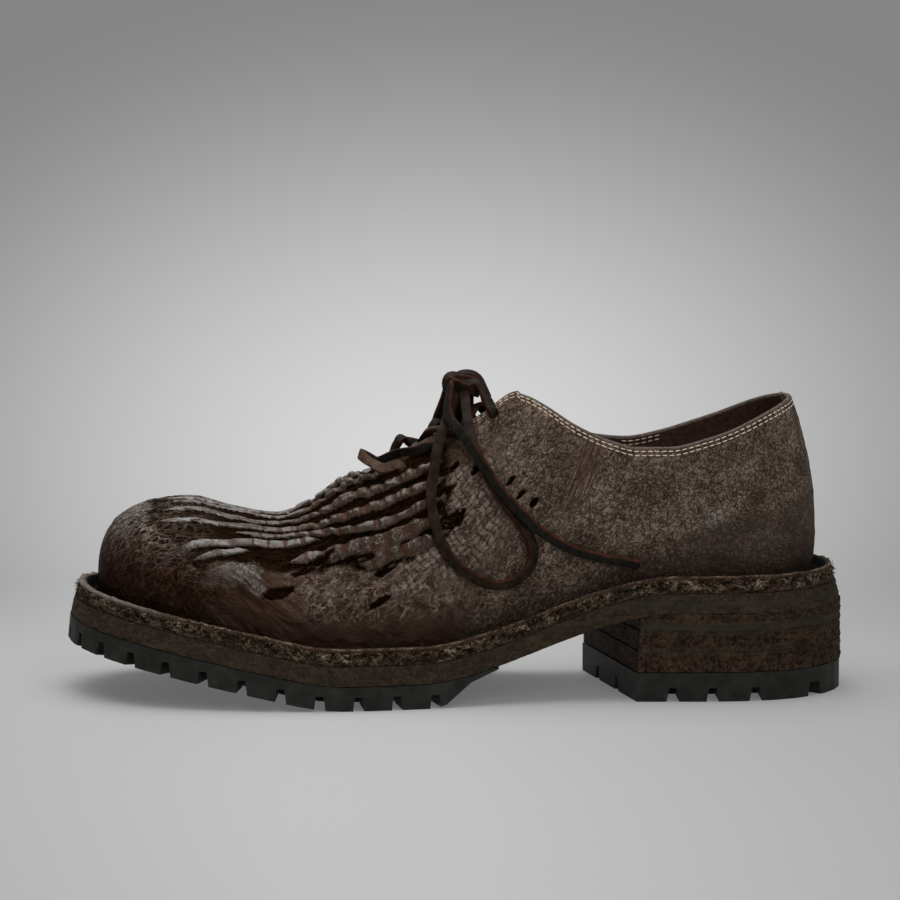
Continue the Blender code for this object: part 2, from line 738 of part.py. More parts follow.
def build_outsole(rubber):
    last_lug = RUBBER_LAST_LUG - 2
    halves = [upto(side, RUBBER_LAST_LUG) for side in SIDES]
    for half, side in zip(halves, SIDES):
        half += [across(side, RUBBER_HEEL_STEP), across(side, RUBBER_END)]
    sole = slab("outsole_forefoot", *halves, RUBBER_EDGE, lambda x: midsole_bottom(x) - SEAT_GAP,
                rubber_bottom, rubber)
    bars = edge_bars(LATERAL, RUBBER_EDGE[1], LUG_PITCH / 2, last_lug)
    bars += edge_bars(MEDIAL, RUBBER_EDGE[1], LUG_PITCH / 2, last_lug)
    cut(sole, grooves("forefoot_edge_grooves", bars))

    def channel(station):
        x = station.foot[0]
        outer = table(MARGINS, "margin", x) - LUG_REACH + CHANNEL / 2
        floor, root = -6.0, LUG_DEPTH - 0.4
        return (outer, floor), (outer, root), (outer - CHANNEL, root), (outer - CHANNEL, floor)

    tool = ring("forefoot_channel", channel, toe_spring, None)
    tool.hide_render = True
    tool.display_type = "WIRE"
    cut(sole, tool)
    centre = []
    for x in np.arange(-112.0, last_lug - 6, 1.5 * LUG_PITCH):
        half = 0.5 * (across(MEDIAL, x).foot[1] - across(LATERAL, x).foot[1]) - LUG_REACH + 10.0
        floor = float(toe_spring(x))
        centre.append(groove((x, 1.5), (0, 1), (half, half), floor - 3.0, floor + LUG_DEPTH - 0.8))
    cut(sole, grooves("forefoot_centre_grooves", centre))
    return sole


def heel_halves(setback):
    count = 15
    return behind(LATERAL, BREAST_LATERAL + setback, count), behind(MEDIAL, BREAST_MEDIAL + setback, count)


def build_heel(leather, rubber):
    tops = [lift.base for lift in LIFTS[1:]] + [None]
    for lift, top in zip(LIFTS, tops):
        upper_face = midsole_bottom if top is None else (lambda x, top=top: top)
        slab(lift.name, *heel_halves(lift.setback), (lift.edge, lift.edge),
             lambda x, face=upper_face: face(x) - SEAT_GAP, lambda x, base=lift.base: base, leather)
    piece = slab("heel_top_piece", *heel_halves(0), HEEL_RUBBER_EDGE, lambda x: HEEL_RUBBER - SEAT_GAP,
                 lambda x: 0.0, rubber)
    bars = []
    for side, breast in ((LATERAL, BREAST_LATERAL), (MEDIAL, BREAST_MEDIAL)):
        for i in range(3):
            middle = layer_edge(across(side, breast + 14.5 + i * LUG_PITCH), HEEL_RUBBER_EDGE[1])
            bars.append(groove(middle, (0, -side), (4.0, LUG_REACH), 0.0, LUG_DEPTH))
        corner = fan(side, HEEL_SPINE, 1, [math.radians(42)])[0]
        middle = layer_edge(corner, HEEL_RUBBER_EDGE[1])
        bars.append(groove(middle, -corner.normal, (4.0, LUG_REACH), 0.0, LUG_DEPTH, wider=3.0))
    breast_middle = np.array(((BREAST_LATERAL + BREAST_MEDIAL) / 2, 0.0))
    breast_way = np.array((BREAST_MEDIAL - BREAST_LATERAL, 74.0)) / 74.0
    for share in (-13.0, 13.0):
        bars.append(groove(breast_middle + breast_way * share, (1, 0), (5.0, LUG_REACH), 0.0, LUG_DEPTH))
    tip = layer_edge(behind(LATERAL, HEEL_SPINE[0], 2)[-1], HEEL_RUBBER_EDGE[1])
    bars.append(groove(tip, (-1, 0), (4.0, LUG_REACH), 0.0, LUG_DEPTH))
    cut(piece, grooves("heel_grooves", bars))
    return piece


# The leather thong that laces it.


def thong(points, ups, width, thick):
    """A flat strip along points, lying flat to the directions in ups."""
    points = [Vector(p) for p in points]
    corners = []
    for i, point in enumerate(points):
        along = (points[min(i + 1, len(points) - 1)] - points[max(i - 1, 0)]).normalized()
        sideways = along.cross(Vector(ups[i])).normalized() * (width / 2)
        rise = sideways.cross(along).normalized() * (thick / 2)
        corners += [point + sideways + rise, point - sideways + rise,
                    point - sideways - rise, point + sideways - rise]
    faces = grid_faces(len(points), 4, wrap=True)
    last = 4 * (len(points) - 1)
    return corners, faces + [(3, 2, 1, 0), (last, last + 1, last + 2, last + 3)]


def crossing(start, end, lift):
    """A strip from one lace hole over the throat to another, bowed up off the tongue."""
    (a, a_out), (b, b_out) = start, end
    seat_lift = THONG_THICK / 2 + THONG_CLEAR
    middle = (a + b) / 2
    x = middle.x
    ridge = float(INSTEP_HEIGHT * table(SECTIONS, "ridge", x))
    top = Vector((x, float(table(SECTIONS, "ridge_y", x)), ridge + lift))
    route = [a + a_out * seat_lift, a + a_out * (seat_lift + 1.2) + (top - a) * 0.28, top,
             b + b_out * (seat_lift + 1.2) + (top - b) * 0.28, b + b_out * seat_lift]
    points = through(route, 2)
    ups = []
    for u in np.linspace(0, 1, len(points)):
        ups.append(a_out * (1 - u) ** 2 + Vector((0, 0, 2 * u * (1 - u))) + b_out * u**2)
    return thong(points, ups, THONG_WIDTH, THONG_THICK)


def riser(start):
    """The strip from a top lace hole up to the knot."""
    hole, outward = start
    foot = hole + outward * (THONG_THICK / 2 + THONG_CLEAR)
    away = (foot - KNOT)
    stretch = Vector([away[i] / KNOT_RADII[i] for i in range(3)]).length
    head = KNOT + away / stretch * 1.2
    bow = (foot + head) / 2 + outward * 1.5
    points = through([foot, bow, head], 3)
    return thong(points, [outward] * len(points), THONG_WIDTH, THONG_THICK)


def build_crossings(leather):
    lateral, medial = ([eyelet(s) for s in eyelet_stations(side)] for side in SIDES)
    strips = [crossing(lateral[0], medial[0], BAR_LIFT)]
    for i in range(EYELET_ROWS - 1):
        strips.append(crossing(lateral[i], medial[i + 1], BAR_LIFT))
        strips.append(crossing(medial[i], lateral[i + 1], BAR_LIFT - 0.5))
    strips += [riser(lateral[-1]), riser(medial[-1])]
    lace = solid("lace_crossings", *strips[0], leather)
    for i, strip in enumerate(strips[1:]):
        cut(lace, cutter(f"lace_strip_{i}", *strip), "UNION")
    return lace


def build_knot(leather):
    bpy.ops.mesh.primitive_uv_sphere_add(segments=12, ring_count=8, radius=1)
    knot = bpy.context.object
    knot.name = knot.data.name = "lace_knot"
    knot.data.transform(Matrix.Diagonal((*(KNOT_RADII * MM), 1)))
    knot.location = KNOT * MM
    knot.data.shade_smooth()
    knot.data.materials.append(leather)
    return knot


def cord(name, route, leather):
    """A round cord through its route, as a curve with a filled tube."""
    line = bpy.data.curves.new(name, "CURVE")
    line.dimensions = "3D"
    line.bevel_depth = CORD_RADIUS * MM
    line.bevel_resolution = 2
    line.use_fill_caps = True
    points = spaced(through(route, 12), CORD_STEP)
    spline = line.splines.new("POLY")
    spline.points.add(len(points) - 1)
    for place, point in zip(points, spline.points):
        point.co = (*(place * MM), 1)
    line.materials.append(leather)
    obj = bpy.data.objects.new(name, line)
    bpy.context.scene.collection.objects.link(obj)
    return obj


def knot_face(direction, clear=CORD_RADIUS):
    """A point just outside the knot, in a direction from its middle."""
    way = Vector(direction)
    stretch = Vector([way[i] / KNOT_RADII[i] for i in range(3)]).length
    return np.array(KNOT + way / stretch + way.normalized() * clear)


def build_bow(leather):
    lay = {name: [side_point(side, p.x, p.z, p.lift) for p in rows] for name, side, rows in (
        ("loop_lateral", LATERAL, LATERAL_LOOP), ("end_lateral", LATERAL, LATERAL_END),
        ("loop_medial", MEDIAL, MEDIAL_LOOP), ("end_medial", MEDIAL, MEDIAL_END))}
    start = {
        "loop_lateral": ((-0.05, -1, -0.55), (-0.7, -0.8, -0.9)),
        "end_lateral": ((-1, -0.9, 0.1), None),
        "loop_medial": ((-1, 1, -0.1), (0.1, 1, -0.1)),
        "end_medial": ((0.6, 1, 0.35), None),
    }
    for name, points in lay.items():
        first, last = start[name]
        route = [knot_face(first)] + points + ([knot_face(last)] if last else [])
        cord(f"lace_{name}", route, leather)


def main():
    for obj in list(bpy.data.objects):
        bpy.data.objects.remove(obj)
    upper_leather = finish("reverse waxed leather", (0.075, 0.052, 0.040), 0.62)
    lining_leather = finish("lining leather", (0.060, 0.036, 0.024), 0.70)
    sole_leather = finish("raw edge sole leather", (0.060, 0.043, 0.033), 0.80)
    lug_rubber = finish("lug rubber", (0.026, 0.028, 0.026), 0.72)
    thong_leather = finish("thong leather", (0.070, 0.046, 0.034), 0.55)
    build_upper(upper_leather)
    build_tongue(upper_leather)
    build_back_tab(lining_leather)
    build_insole(lining_leather)
    build_welt(sole_leather)
    build_midsole(sole_leather)
    build_outsole(lug_rubber)
    build_heel(sole_leather, lug_rubber)
    build_crossings(thong_leather)
    build_knot(thong_leather)
    build_bow(thong_leather)


main()
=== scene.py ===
# %% [markdown]
# # A torn and waxed derby shoe
# The bare solids of a heavy left shoe are loaded here and dressed until they look like worn leather.
# The toe points along -X, the outer (lateral) side faces -Y and the shoe stands on z = 0.
# Sizes are in millimetres, as a shoemaker writes them, and become metres where a mesh is made.

# %% Load the frame
import math
from collections import namedtuple
from functools import partial

import bpy
import numpy as np
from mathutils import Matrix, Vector


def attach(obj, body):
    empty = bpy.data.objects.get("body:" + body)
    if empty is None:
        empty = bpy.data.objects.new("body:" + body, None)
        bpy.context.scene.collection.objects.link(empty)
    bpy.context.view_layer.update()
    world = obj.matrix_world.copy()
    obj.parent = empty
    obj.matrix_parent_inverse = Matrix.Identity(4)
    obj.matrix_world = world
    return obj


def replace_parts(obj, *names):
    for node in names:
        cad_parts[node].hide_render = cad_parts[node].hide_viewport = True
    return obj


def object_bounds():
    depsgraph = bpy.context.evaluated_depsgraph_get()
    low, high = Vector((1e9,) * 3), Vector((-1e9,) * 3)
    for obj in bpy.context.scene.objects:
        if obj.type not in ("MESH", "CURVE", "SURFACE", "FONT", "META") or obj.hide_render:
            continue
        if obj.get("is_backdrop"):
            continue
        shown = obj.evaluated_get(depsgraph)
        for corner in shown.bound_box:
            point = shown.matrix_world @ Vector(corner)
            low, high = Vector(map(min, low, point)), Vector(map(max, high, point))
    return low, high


MM = 0.001
LATERAL, MEDIAL = -1, 1
SIDES = (LATERAL, MEDIAL)
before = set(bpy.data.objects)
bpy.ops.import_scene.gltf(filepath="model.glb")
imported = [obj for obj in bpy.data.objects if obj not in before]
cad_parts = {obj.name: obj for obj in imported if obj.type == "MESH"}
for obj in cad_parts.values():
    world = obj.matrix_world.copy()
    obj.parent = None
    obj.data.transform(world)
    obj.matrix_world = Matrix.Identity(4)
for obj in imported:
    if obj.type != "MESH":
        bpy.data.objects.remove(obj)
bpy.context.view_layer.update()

# %% [markdown]
# ## Camera
# A product photographer stands well back with a long lens, so that a shoe keeps its true proportions.
# The camera looks a little down and is turned a few degrees towards the toe.

# %% Place the camera
CAMERA_TURN, CAMERA_LOOK_DOWN = math.radians(-3.38), math.radians(8.4)
CAMERA_DISTANCE = 2.485
CAMERA_PIVOT = Vector((0.0, 0.0, 0.060))
FRAME_MIDDLE = Vector((-0.0017, 0.0050, 0.0936))
LENS, SENSOR = 251.7, 36.0

scene = bpy.context.scene
scene.view_settings.view_transform = "Standard"


def aim(obj, place, target):
    """Puts a camera or a light somewhere and turns it towards a point."""
    obj.location = place
    obj.rotation_euler = (Vector(target) - Vector(place)).to_track_quat("-Z", "Y").to_euler()
    scene.collection.objects.link(obj)
    return obj


away = Vector((
    math.sin(CAMERA_TURN) * math.cos(CAMERA_LOOK_DOWN),
    -math.cos(CAMERA_TURN) * math.cos(CAMERA_LOOK_DOWN),
    math.sin(CAMERA_LOOK_DOWN),
))
lens = bpy.data.cameras.new("long_lens")
lens.lens, lens.sensor_width = LENS, SENSOR
lens.clip_end = 20.0
camera = bpy.data.objects.new("camera", lens)
scene.camera = aim(camera, CAMERA_PIVOT + away * CAMERA_DISTANCE, FRAME_MIDDLE)
print("camera at", [round(c, 3) for c in scene.camera.location])

# %% [markdown]
# ## The last
# A shoe is built round a last, a solid foot shape, and its sections give every surface of the upper.
# The tables below are the ones that the solids were made from, so the dressed shoe keeps their form.

# %% Sizes of the last and the sole
TOE_X = -139.8
LAST_LENGTH = 280.5
BALL_WIDTH = 91.0
INSTEP_HEIGHT = 124.5
WALL = 2.2
SEAT_GAP = 0.3
RUBBER, MIDSOLE = 9.6, 7.7
WELT_RIM_HEIGHT, WELT_FLANGE, WELT_RIM = 6.5, 2.4, 4.2
HEEL_PITCH = 25.2
TOE_SPRING_START, TOE_SPRING_ARC, TOE_SPRING_ANGLE = -45.0, 90.0, math.radians(12.0)
WAIST_START, WAIST_END = -18.0, 86.0
BREAST_LATERAL, BREAST_MEDIAL = 68.5, 54.0
THROAT_X, FACING_X, THROAT_ROUND, FACING_ROUND = -31.0, 24.0, 5.0, 1.6
GAP_FRONT, GAP_TOP = 4.5, 12.0
TOE_SPINE, HEEL_SPINE = np.array((-104.0, 4.0)), np.array((107.0, 0.3))
TOE_TIP_SHARE, HEEL_TIP_SHARE = 0.055, 0.004

Outline = namedtuple("Outline", "along lateral medial")
FEATHER_EDGE = (
    Outline(0.012, -0.143, 0.242), Outline(0.052, -0.302, 0.385), Outline(0.123, -0.418, 0.467),
    Outline(0.230, -0.489, 0.495), Outline(0.337, -0.505, 0.456), Outline(0.444, -0.467, 0.368),
    Outline(0.551, -0.407, 0.302), Outline(0.658, -0.368, 0.291), Outline(0.765, -0.357, 0.319),
    Outline(0.872, -0.357, 0.346), Outline(0.943, -0.302, 0.308), Outline(0.986, -0.165, 0.176),
)
Section = namedtuple("Section", "x ridge ridge_y bulge rise shoulder_lateral shoulder_medial")
SECTIONS = (
    Section(-139.5, 0.612, 4.0, 4.6, 0.68, 0.80, 0.80),
    Section(-122.0, 0.614, 4.0, 4.8, 0.66, 0.77, 0.76),
    Section(-104.0, 0.610, 4.0, 4.5, 0.63, 0.72, 0.70),
    Section(-88.0, 0.580, 3.6, 4.0, 0.58, 0.68, 0.65),
    Section(-70.0, 0.556, 3.2, 3.2, 0.55, 0.64, 0.60),
    Section(-57.0, 0.594, 2.8, 3.0, 0.53, 0.62, 0.57),
    Section(-43.0, 0.668, 2.5, 3.0, 0.51, 0.60, 0.54),
    Section(-31.0, 0.708, 2.2, 3.0, 0.50, 0.58, 0.52),
    Section(-11.0, 0.811, 2.0, 3.0, 0.50, 0.58, 0.52),
    Section(8.0, 0.892, 1.8, 3.5, 0.50, 0.60, 0.54),
    Section(24.0, 1.000, 1.5, 4.0, 0.50, 0.60, 0.56),
    Section(45.0, 1.076, 1.0, 4.5, 0.50, 0.60, 0.58),
    Section(75.0, 1.173, 0.5, 5.0, 0.49, 0.60, 0.60),
    Section(107.0, 1.200, 0.3, 6.0, 0.44, 0.56, 0.56),
    Section(141.0, 1.200, 0.3, 9.5, 0.43, 0.48, 0.48),
)
Collar = namedtuple("Collar", "x lateral medial")
COLLAR = (
    Collar(24.0, 119.0, 113.0), Collar(34.0, 113.8, 108.0), Collar(46.0, 106.2, 100.8),
    Collar(58.0, 100.8, 96.4), Collar(70.0, 97.8, 95.2), Collar(82.0, 97.8, 97.2),
    Collar(97.0, 101.0, 101.6), Collar(113.0, 106.4, 107.0), Collar(125.0, 110.6, 110.8),
    Collar(136.0, 113.6, 113.7), Collar(141.0, 114.8, 114.8),
)
Margin = namedtuple("Margin", "x margin flare")
MARGINS = (
    Margin(-139.5, 9.0, 1.00), Margin(-110.0, 9.2, 0.55), Margin(-60.0, 9.5, 0.30),
    Margin(0.0, 8.2, 0.25), Margin(40.0, 6.4, 0.20), Margin(80.0, 7.6, 0.40), Margin(120.0, 8.6, 0.60),
    Margin(141.0, 9.0, 1.00),
)
print("sections of the last:", len(SECTIONS), "and of the collar:", len(COLLAR))

# %% [markdown]
# ## Curves
# A last maker joins a few measured sections with fair curves. The same is done here by a curve that
# passes through every row of a table and never swings past it, so no bumps grow between the sections.
# Blender's own curve objects could do it too, but plain arrays are quicker to measure.

# %% Curves and heights worked out from the tables


def column(rows, name):
    """One named column of a table."""
    return np.array([getattr(row, name) for row in rows])


def smooth(xs, ys, x):
    """A curve through the rows of a table that never overshoots them."""
    xs, ys = np.asarray(xs, float), np.asarray(ys, float)
    x = np.clip(x, xs[0], xs[-1])
    slopes = np.diff(ys) / np.diff(xs)
    tangents = np.zeros_like(ys)
    same_way = slopes[:-1] * slopes[1:] > 0
    pair_sum = np.where(same_way, slopes[:-1] + slopes[1:], 1.0)
    tangents[1:-1] = np.where(same_way, 2 * slopes[:-1] * slopes[1:] / pair_sum, 0.0)
    tangents[0], tangents[-1] = slopes[0], slopes[-1]
    i = np.clip(np.searchsorted(xs, x) - 1, 0, len(xs) - 2)
    width = xs[i + 1] - xs[i]
    u = (x - xs[i]) / width
    return (
        ys[i] * (1 + 2 * u) * (1 - u) ** 2
        + tangents[i] * width * u * (1 - u) ** 2
        + ys[i + 1] * u * u * (3 - 2 * u)
        + tangents[i + 1] * width * u * u * (u - 1)
    )


def table(rows, name, x):
    """A column of a table, read as a smooth curve along the shoe."""
    return smooth(column(rows, "x"), column(rows, name), x)


def through(points, per_span, closed=False):
    """Points along a smooth curve that passes through the given ones."""
    points = np.asarray(points, float)
    if closed:
        padded = np.vstack([points[-1], points, points[:2]])
    else:
        padded = np.vstack([2 * points[0] - points[1], points, 2 * points[-1] - points[-2]])
    u = np.linspace(0, 1, per_span, endpoint=False)[:, None]
    spans = []
    for a, b, c, d in zip(padded, padded[1:], padded[2:], padded[3:]):
        spans.append(0.5 * (2 * b + (c - a) * u + (2 * a - 5 * b + 4 * c - d) * u**2
                            + (3 * b - a - 3 * c + d) * u**3))
    curve = np.vstack(spans)
    return curve if closed else np.vstack([curve, points[-1]])


def at(marks, run, values):
    """Rows of values, such as points, read at some marks along a run."""
    return np.stack([np.interp(marks, run, one) for one in np.asarray(values).T], axis=-1)


def run_along(curve):
    """How far along a curve each of its points lies."""
    return np.r_[0, np.cumsum(np.linalg.norm(np.diff(curve[:, :3], axis=0), axis=1))]


def spaced(curve, step):
    """The same curve with points an even step apart."""
    lengths = run_along(curve)
    marks = np.linspace(0, lengths[-1], max(2, round(lengths[-1] / step) + 1))
    return at(marks, lengths, curve)


def bezier(a, b, c, d, t):
    """A curve from a to d that is drawn towards b and c on its way."""
    return a * (1 - t) ** 3 + 3 * b * t * (1 - t) ** 2 + 3 * c * t * t * (1 - t) + d * t**3


def toe_spring(x):
    """How far the sole has risen off the ground towards the toe."""
    bend = TOE_SPRING_ARC * math.sin(TOE_SPRING_ANGLE)
    ahead = np.maximum(TOE_SPRING_START - np.asarray(x, float), 0)
    on_arc = TOE_SPRING_ARC - np.sqrt(TOE_SPRING_ARC**2 - np.minimum(ahead, bend) ** 2)
    return on_arc + np.maximum(ahead - bend, 0) * math.tan(TOE_SPRING_ANGLE)


def seat(x):
    """Top of the midsole, where the upper's feather edge sits."""
    u = np.clip((np.asarray(x, float) - WAIST_START) / (WAIST_END - WAIST_START), 0, 1)
    return toe_spring(x) + RUBBER + MIDSOLE + HEEL_PITCH * u * u * (3 - 2 * u)


def midsole_bottom(x):
    """Underside of the midsole, where the rubber and the heel begin."""
    return seat(x) - MIDSOLE


print("top of the midsole at toe, waist and heel:", seat([TOE_X, WAIST_START, WAIST_END]).round(1))

# %% [markdown]
# ## Sections of the upper
# The feather edge is the line where the upper meets the sole, and every section of the upper stands on it.
# Sections run straight across the vamp and quarters, and turn like the ribs of a fan round the toe and
# heel, because a straight cut would slice those ends too flat.

# %% Stations round the feather edge


def feather_outline():
    """Dense points and outward normals of each half of the feather edge, from toe tip to heel tip."""
    xs = TOE_X + LAST_LENGTH * column(FEATHER_EDGE, "along")
    lateral = np.column_stack([xs, BALL_WIDTH * column(FEATHER_EDGE, "lateral")])
    medial = np.column_stack([xs, BALL_WIDTH * column(FEATHER_EDGE, "medial")])
    toe = (TOE_X, BALL_WIDTH * TOE_TIP_SHARE)
    heel = (TOE_X + LAST_LENGTH, BALL_WIDTH * HEEL_TIP_SHARE)
    per_span = 30
    curve = through(np.vstack([toe, lateral, heel, medial[::-1]]), per_span, closed=True)
    turn = np.gradient(np.vstack([curve[-2:], curve, curve[:2]]), axis=0)[2:-2]
    normals = np.column_stack([turn[:, 1], -turn[:, 0]])
    normals /= np.linalg.norm(normals, axis=1)[:, None]
    half = per_span * (len(xs) + 1)
    back = np.r_[0, np.arange(len(curve) - 1, half - 1, -1)]
    return {LATERAL: (curve[: half + 1], normals[: half + 1]), MEDIAL: (curve[back], normals[back])}


FEATHER = feather_outline()
QUARTER = math.pi / 2
Station = namedtuple("Station", "side foot normal spine turn")


def fan(side, spine, forward, angles):
    """Stations on rays that turn about a spine, from its front or back (0) to its side (a quarter turn)."""
    points, normals = FEATHER[side]
    from_spine = points - spine
    turned = np.arctan2(side * from_spine[:, 1], forward * from_spine[:, 0])
    order = np.argsort(turned)
    feet = at(angles, turned[order], points[order])
    outs = at(angles, turned[order], normals[order])
    return [Station(side, foot, out, spine, angle) for foot, out, angle in zip(feet, outs, angles)]


def across(side, x):
    """A station straight across the shoe."""
    points, normals = FEATHER[side]
    foot = np.array((x, np.interp(x, points[:, 0], points[:, 1])))
    spine = np.array((x, table(SECTIONS, "ridge_y", x)))
    return Station(side, foot, at(x, points[:, 0], normals), spine, QUARTER)


def stations(side, toe, vamp, throat, collar, heel):
    """Every section of one side, from the toe tip round to the heel tip, with a count for each stretch."""
    front = fan(side, TOE_SPINE, -1, np.linspace(0, QUARTER, toe, endpoint=False))
    back = fan(side, HEEL_SPINE, 1, np.linspace(QUARTER, 0, heel + 1)[1:])
    front[0] = front[0]._replace(foot=FEATHER[side][0][0], normal=FEATHER[side][1][0])
    back[-1] = back[-1]._replace(foot=FEATHER[side][0][-1], normal=FEATHER[side][1][-1])
    xs = np.r_[
        np.linspace(TOE_SPINE[0], THROAT_X, vamp, endpoint=False),
        np.linspace(THROAT_X, FACING_X, throat, endpoint=False),
        np.linspace(FACING_X, HEEL_SPINE[0], collar + 1),
    ]
    return front + [across(side, x) for x in xs] + back


print("feather edge of", sum(len(half[0]) for half in FEATHER.values()), "points")

# %% [markdown]
# ## The wall of the upper
# From the feather edge to the ridge each section is one curve with four handles: the foot, a bulge over
# it, a shoulder and the ridge. The throat and the collar only say where the leather starts on that curve.
# Sculpting could reach the same form, but handles taken from a table keep both sides fair.

# %% The wall that stands on each station
SECTION_POINTS = 301


def wall(station, t):
    """Outer surface of the upper from the feather edge (t = 0) to the ridge (t = 1), as x, y, z."""
    t = np.asarray(t, float)
    x = station.foot[0]
    reach = np.linalg.norm(station.foot - station.spine)
    base = seat(x) + SEAT_GAP
    ridge = INSTEP_HEIGHT * table(SECTIONS, "ridge", station.spine[0])
    name = "shoulder_lateral" if station.side == LATERAL else "shoulder_medial"
    bulge, rise = table(SECTIONS, "bulge", x), table(SECTIONS, "rise", x)
    out = bezier(reach, reach + bulge, reach * table(SECTIONS, name, x), 0, t)
    up = bezier(base, base + rise * (ridge - base), ridge, ridge, t)
    plan = station.spine + (station.foot - station.spine) * (out / reach)[..., None]
    return np.column_stack([plan.reshape(-1, 2), np.atleast_1d(up)])


def throat_half(x):
    """Half the gap between the facings, round at its front end."""
    along = np.clip((x - THROAT_X) / (FACING_X - THROAT_X), 0, 1)
    rounded = np.clip((x - THROAT_X) / THROAT_ROUND, 0, 1)
    return (GAP_FRONT + (GAP_TOP - GAP_FRONT) * along) * math.sqrt(rounded * (2 - rounded))


def half_section(station):
    """Dense points down one side from the ridge to the feather edge, how far down the leather each lies,
    and how far down the leather starts: at the ridge, at the facing's edge or at the collar."""
    line = wall(station, np.linspace(1, 0, SECTION_POINTS))
    run = run_along(line)
    x = station.foot[0]
    if x <= THROAT_X:
        return line, run, 0.0
    rounded = FACING_ROUND * max(0.0, 1 - abs(x - FACING_X) / (4 * FACING_ROUND)) ** 2
    if x <= FACING_X:
        out = np.maximum.accumulate(np.linalg.norm(line[:, :2] - station.spine, axis=1))
        return line, run, np.interp(throat_half(x), out, run) + rounded
    top = table(COLLAR, "lateral" if station.side == LATERAL else "medial", x)
    return line, run, np.interp(-top, -line[:, 2], run) + rounded


def side_point(side, x, z, lift):
    """A point lifted off the side of the upper, found by its place in side view, and the way out there."""
    near = [half_section(across(side, x + shift)) for shift in (0, -1, 1)]
    line, run, _ = near[0]
    here = np.interp(-z, -line[:, 2], run)
    point = at(here, run, line)
    down = at(here + 1, run, line) - point
    share = here / run[-1]
    behind, ahead = (at(share * other_run[-1], other_run, other) for other, other_run, _ in near[1:])
    outward = np.cross(down, ahead - behind) * -side
    outward /= np.linalg.norm(outward)
    return point + outward * lift, outward


print("ridge over the toe at", wall(stations(LATERAL, 2, 2, 2, 2, 2)[0], 1)[0].round(1))

# %% [markdown]
# ## Meshes and finishes
# Most pieces here are grids of points worked out with arrays, because a torn surface is easier to
# describe by a formula than to sculpt. Numbers stored on the points, called attributes, tell the
# materials where the leather is polished, torn or napped.

# %% Making meshes from arrays


def grid_faces(rows, columns, wrap=False):
    """Quads over a grid of points, closed round its columns if asked."""
    last = columns if wrap else columns - 1
    r, c = (i.ravel() for i in np.meshgrid(np.arange(rows - 1), np.arange(last), indexing="ij"))
    a, b = r * columns + c, r * columns + (c + 1) % columns
    return np.column_stack([a, b, b + columns, a + columns])


def piece(name, points, faces, material, slot, **masks):
    """One named piece of the shoe from points in millimetres, with every mask as numbers on its points."""
    mesh = bpy.data.meshes.new(name)
    mesh.from_pydata((np.asarray(points) * MM).tolist(), [], [tuple(face) for face in faces])
    mesh.validate()
    mesh.shade_smooth()
    mesh.materials.append(material)
    for mask, values in masks.items():
        values = np.asarray(values, np.float32)
        kind = "FLOAT" if values.ndim == 1 else "FLOAT_VECTOR"
        attribute = mesh.attributes.new(mask, kind, "POINT")
        attribute.data.foreach_set("value" if values.ndim == 1 else "vector", values.ravel())
    obj = bpy.data.objects.new(name, mesh)
    scene.collection.objects.link(obj)
    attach(obj, "root")
    print(name, "has", sum(len(p.vertices) - 2 for p in mesh.polygons), "triangles")
    return obj


def step(low, high, value):
    """0 at low, 1 at high and a smooth change between them."""
    share = np.clip((np.asarray(value, float) - low) / (high - low), 0, 1)
    return share * share * (3 - 2 * share)


def hills(x, y, seed):
    """Smooth random numbers from -1 to 1 over a plane, about one hill or hollow to each unit square."""
    size = 128
    lattice = np.random.default_rng(seed).random((size, size)) * 2 - 1
    x, y = np.broadcast_arrays(np.asarray(x, float), np.asarray(y, float))
    i, j = np.floor(x).astype(int), np.floor(y).astype(int)
    u, v = step(0, 1, x - i), step(0, 1, y - j)
    low = lattice[j % size, i % size] * (1 - u) + lattice[j % size, (i + 1) % size] * u
    high = lattice[(j + 1) % size, i % size] * (1 - u) + lattice[(j + 1) % size, (i + 1) % size] * u
    return low * (1 - v) + high * v


print("middle of some smooth hills:", hills([0.5, 1.5], 0.5, 1).round(2))

# %% [markdown]
# ## Shader nodes
# A material in Blender is a net of nodes: masks, noise, mixes and sums that end at one shader.
# Each kind used here is a row of a table, with the inputs it is fed in order and the output it gives.
# One function adds a node of any kind, so that a finish reads from top to bottom like a list of coats.
# The net could be drawn by hand in the shader editor too, but then it couldn't be read or compared.

# %% Colours and shader nodes
Kind = namedtuple("Kind", "node inputs output settings", defaults=(0, {}))
KINDS = {
    "place": Kind("TexCoord", (), "Object"),
    "flat": Kind("Attribute", (), "Vector", {"attribute_name": "flat"}),
    "mask": Kind("Attribute", (), "Fac"),
    "mix": Kind("Mix", (0, 6, 7), 2, {"data_type": "RGBA"}),
    "range": Kind("MapRange", ("Value", "From Min", "From Max", "To Min", "To Max")),
    "noise": Kind("TexNoise", ("Vector", "Scale", "Detail", "Roughness", "Distortion")),
    "clouds": Kind("TexNoise", ("Vector", "Scale", "Detail"), "Color"),
    "cells": Kind("TexVoronoi", ("Vector", "Scale"), "Distance", {"feature": "DISTANCE_TO_EDGE"}),
    "shift": Kind("VectorMath", (0, 1), 0, {"operation": "ADD"}),
    "scale": Kind("VectorMath", (0, 1), 0, {"operation": "MULTIPLY"}),
    "length": Kind("VectorMath", (0,), "Value", {"operation": "LENGTH"}),
    "stretch": Kind("Mapping", ("Vector", "Scale")),
    "turn": Kind("Mapping", ("Vector", "Rotation")),
    "x_of": Kind("SeparateXYZ", (0,), "X"),
    "y_of": Kind("SeparateXYZ", (0,), "Y"),
    "pair": Kind("CombineXYZ", ("X", "Y")),
    "bump": Kind("Bump", ("Height", "Distance", "Strength")),
    "glow": Kind("Emission", ("Color", "Strength")),
    "either": Kind("MixShader", (0, 1, 2)),
}
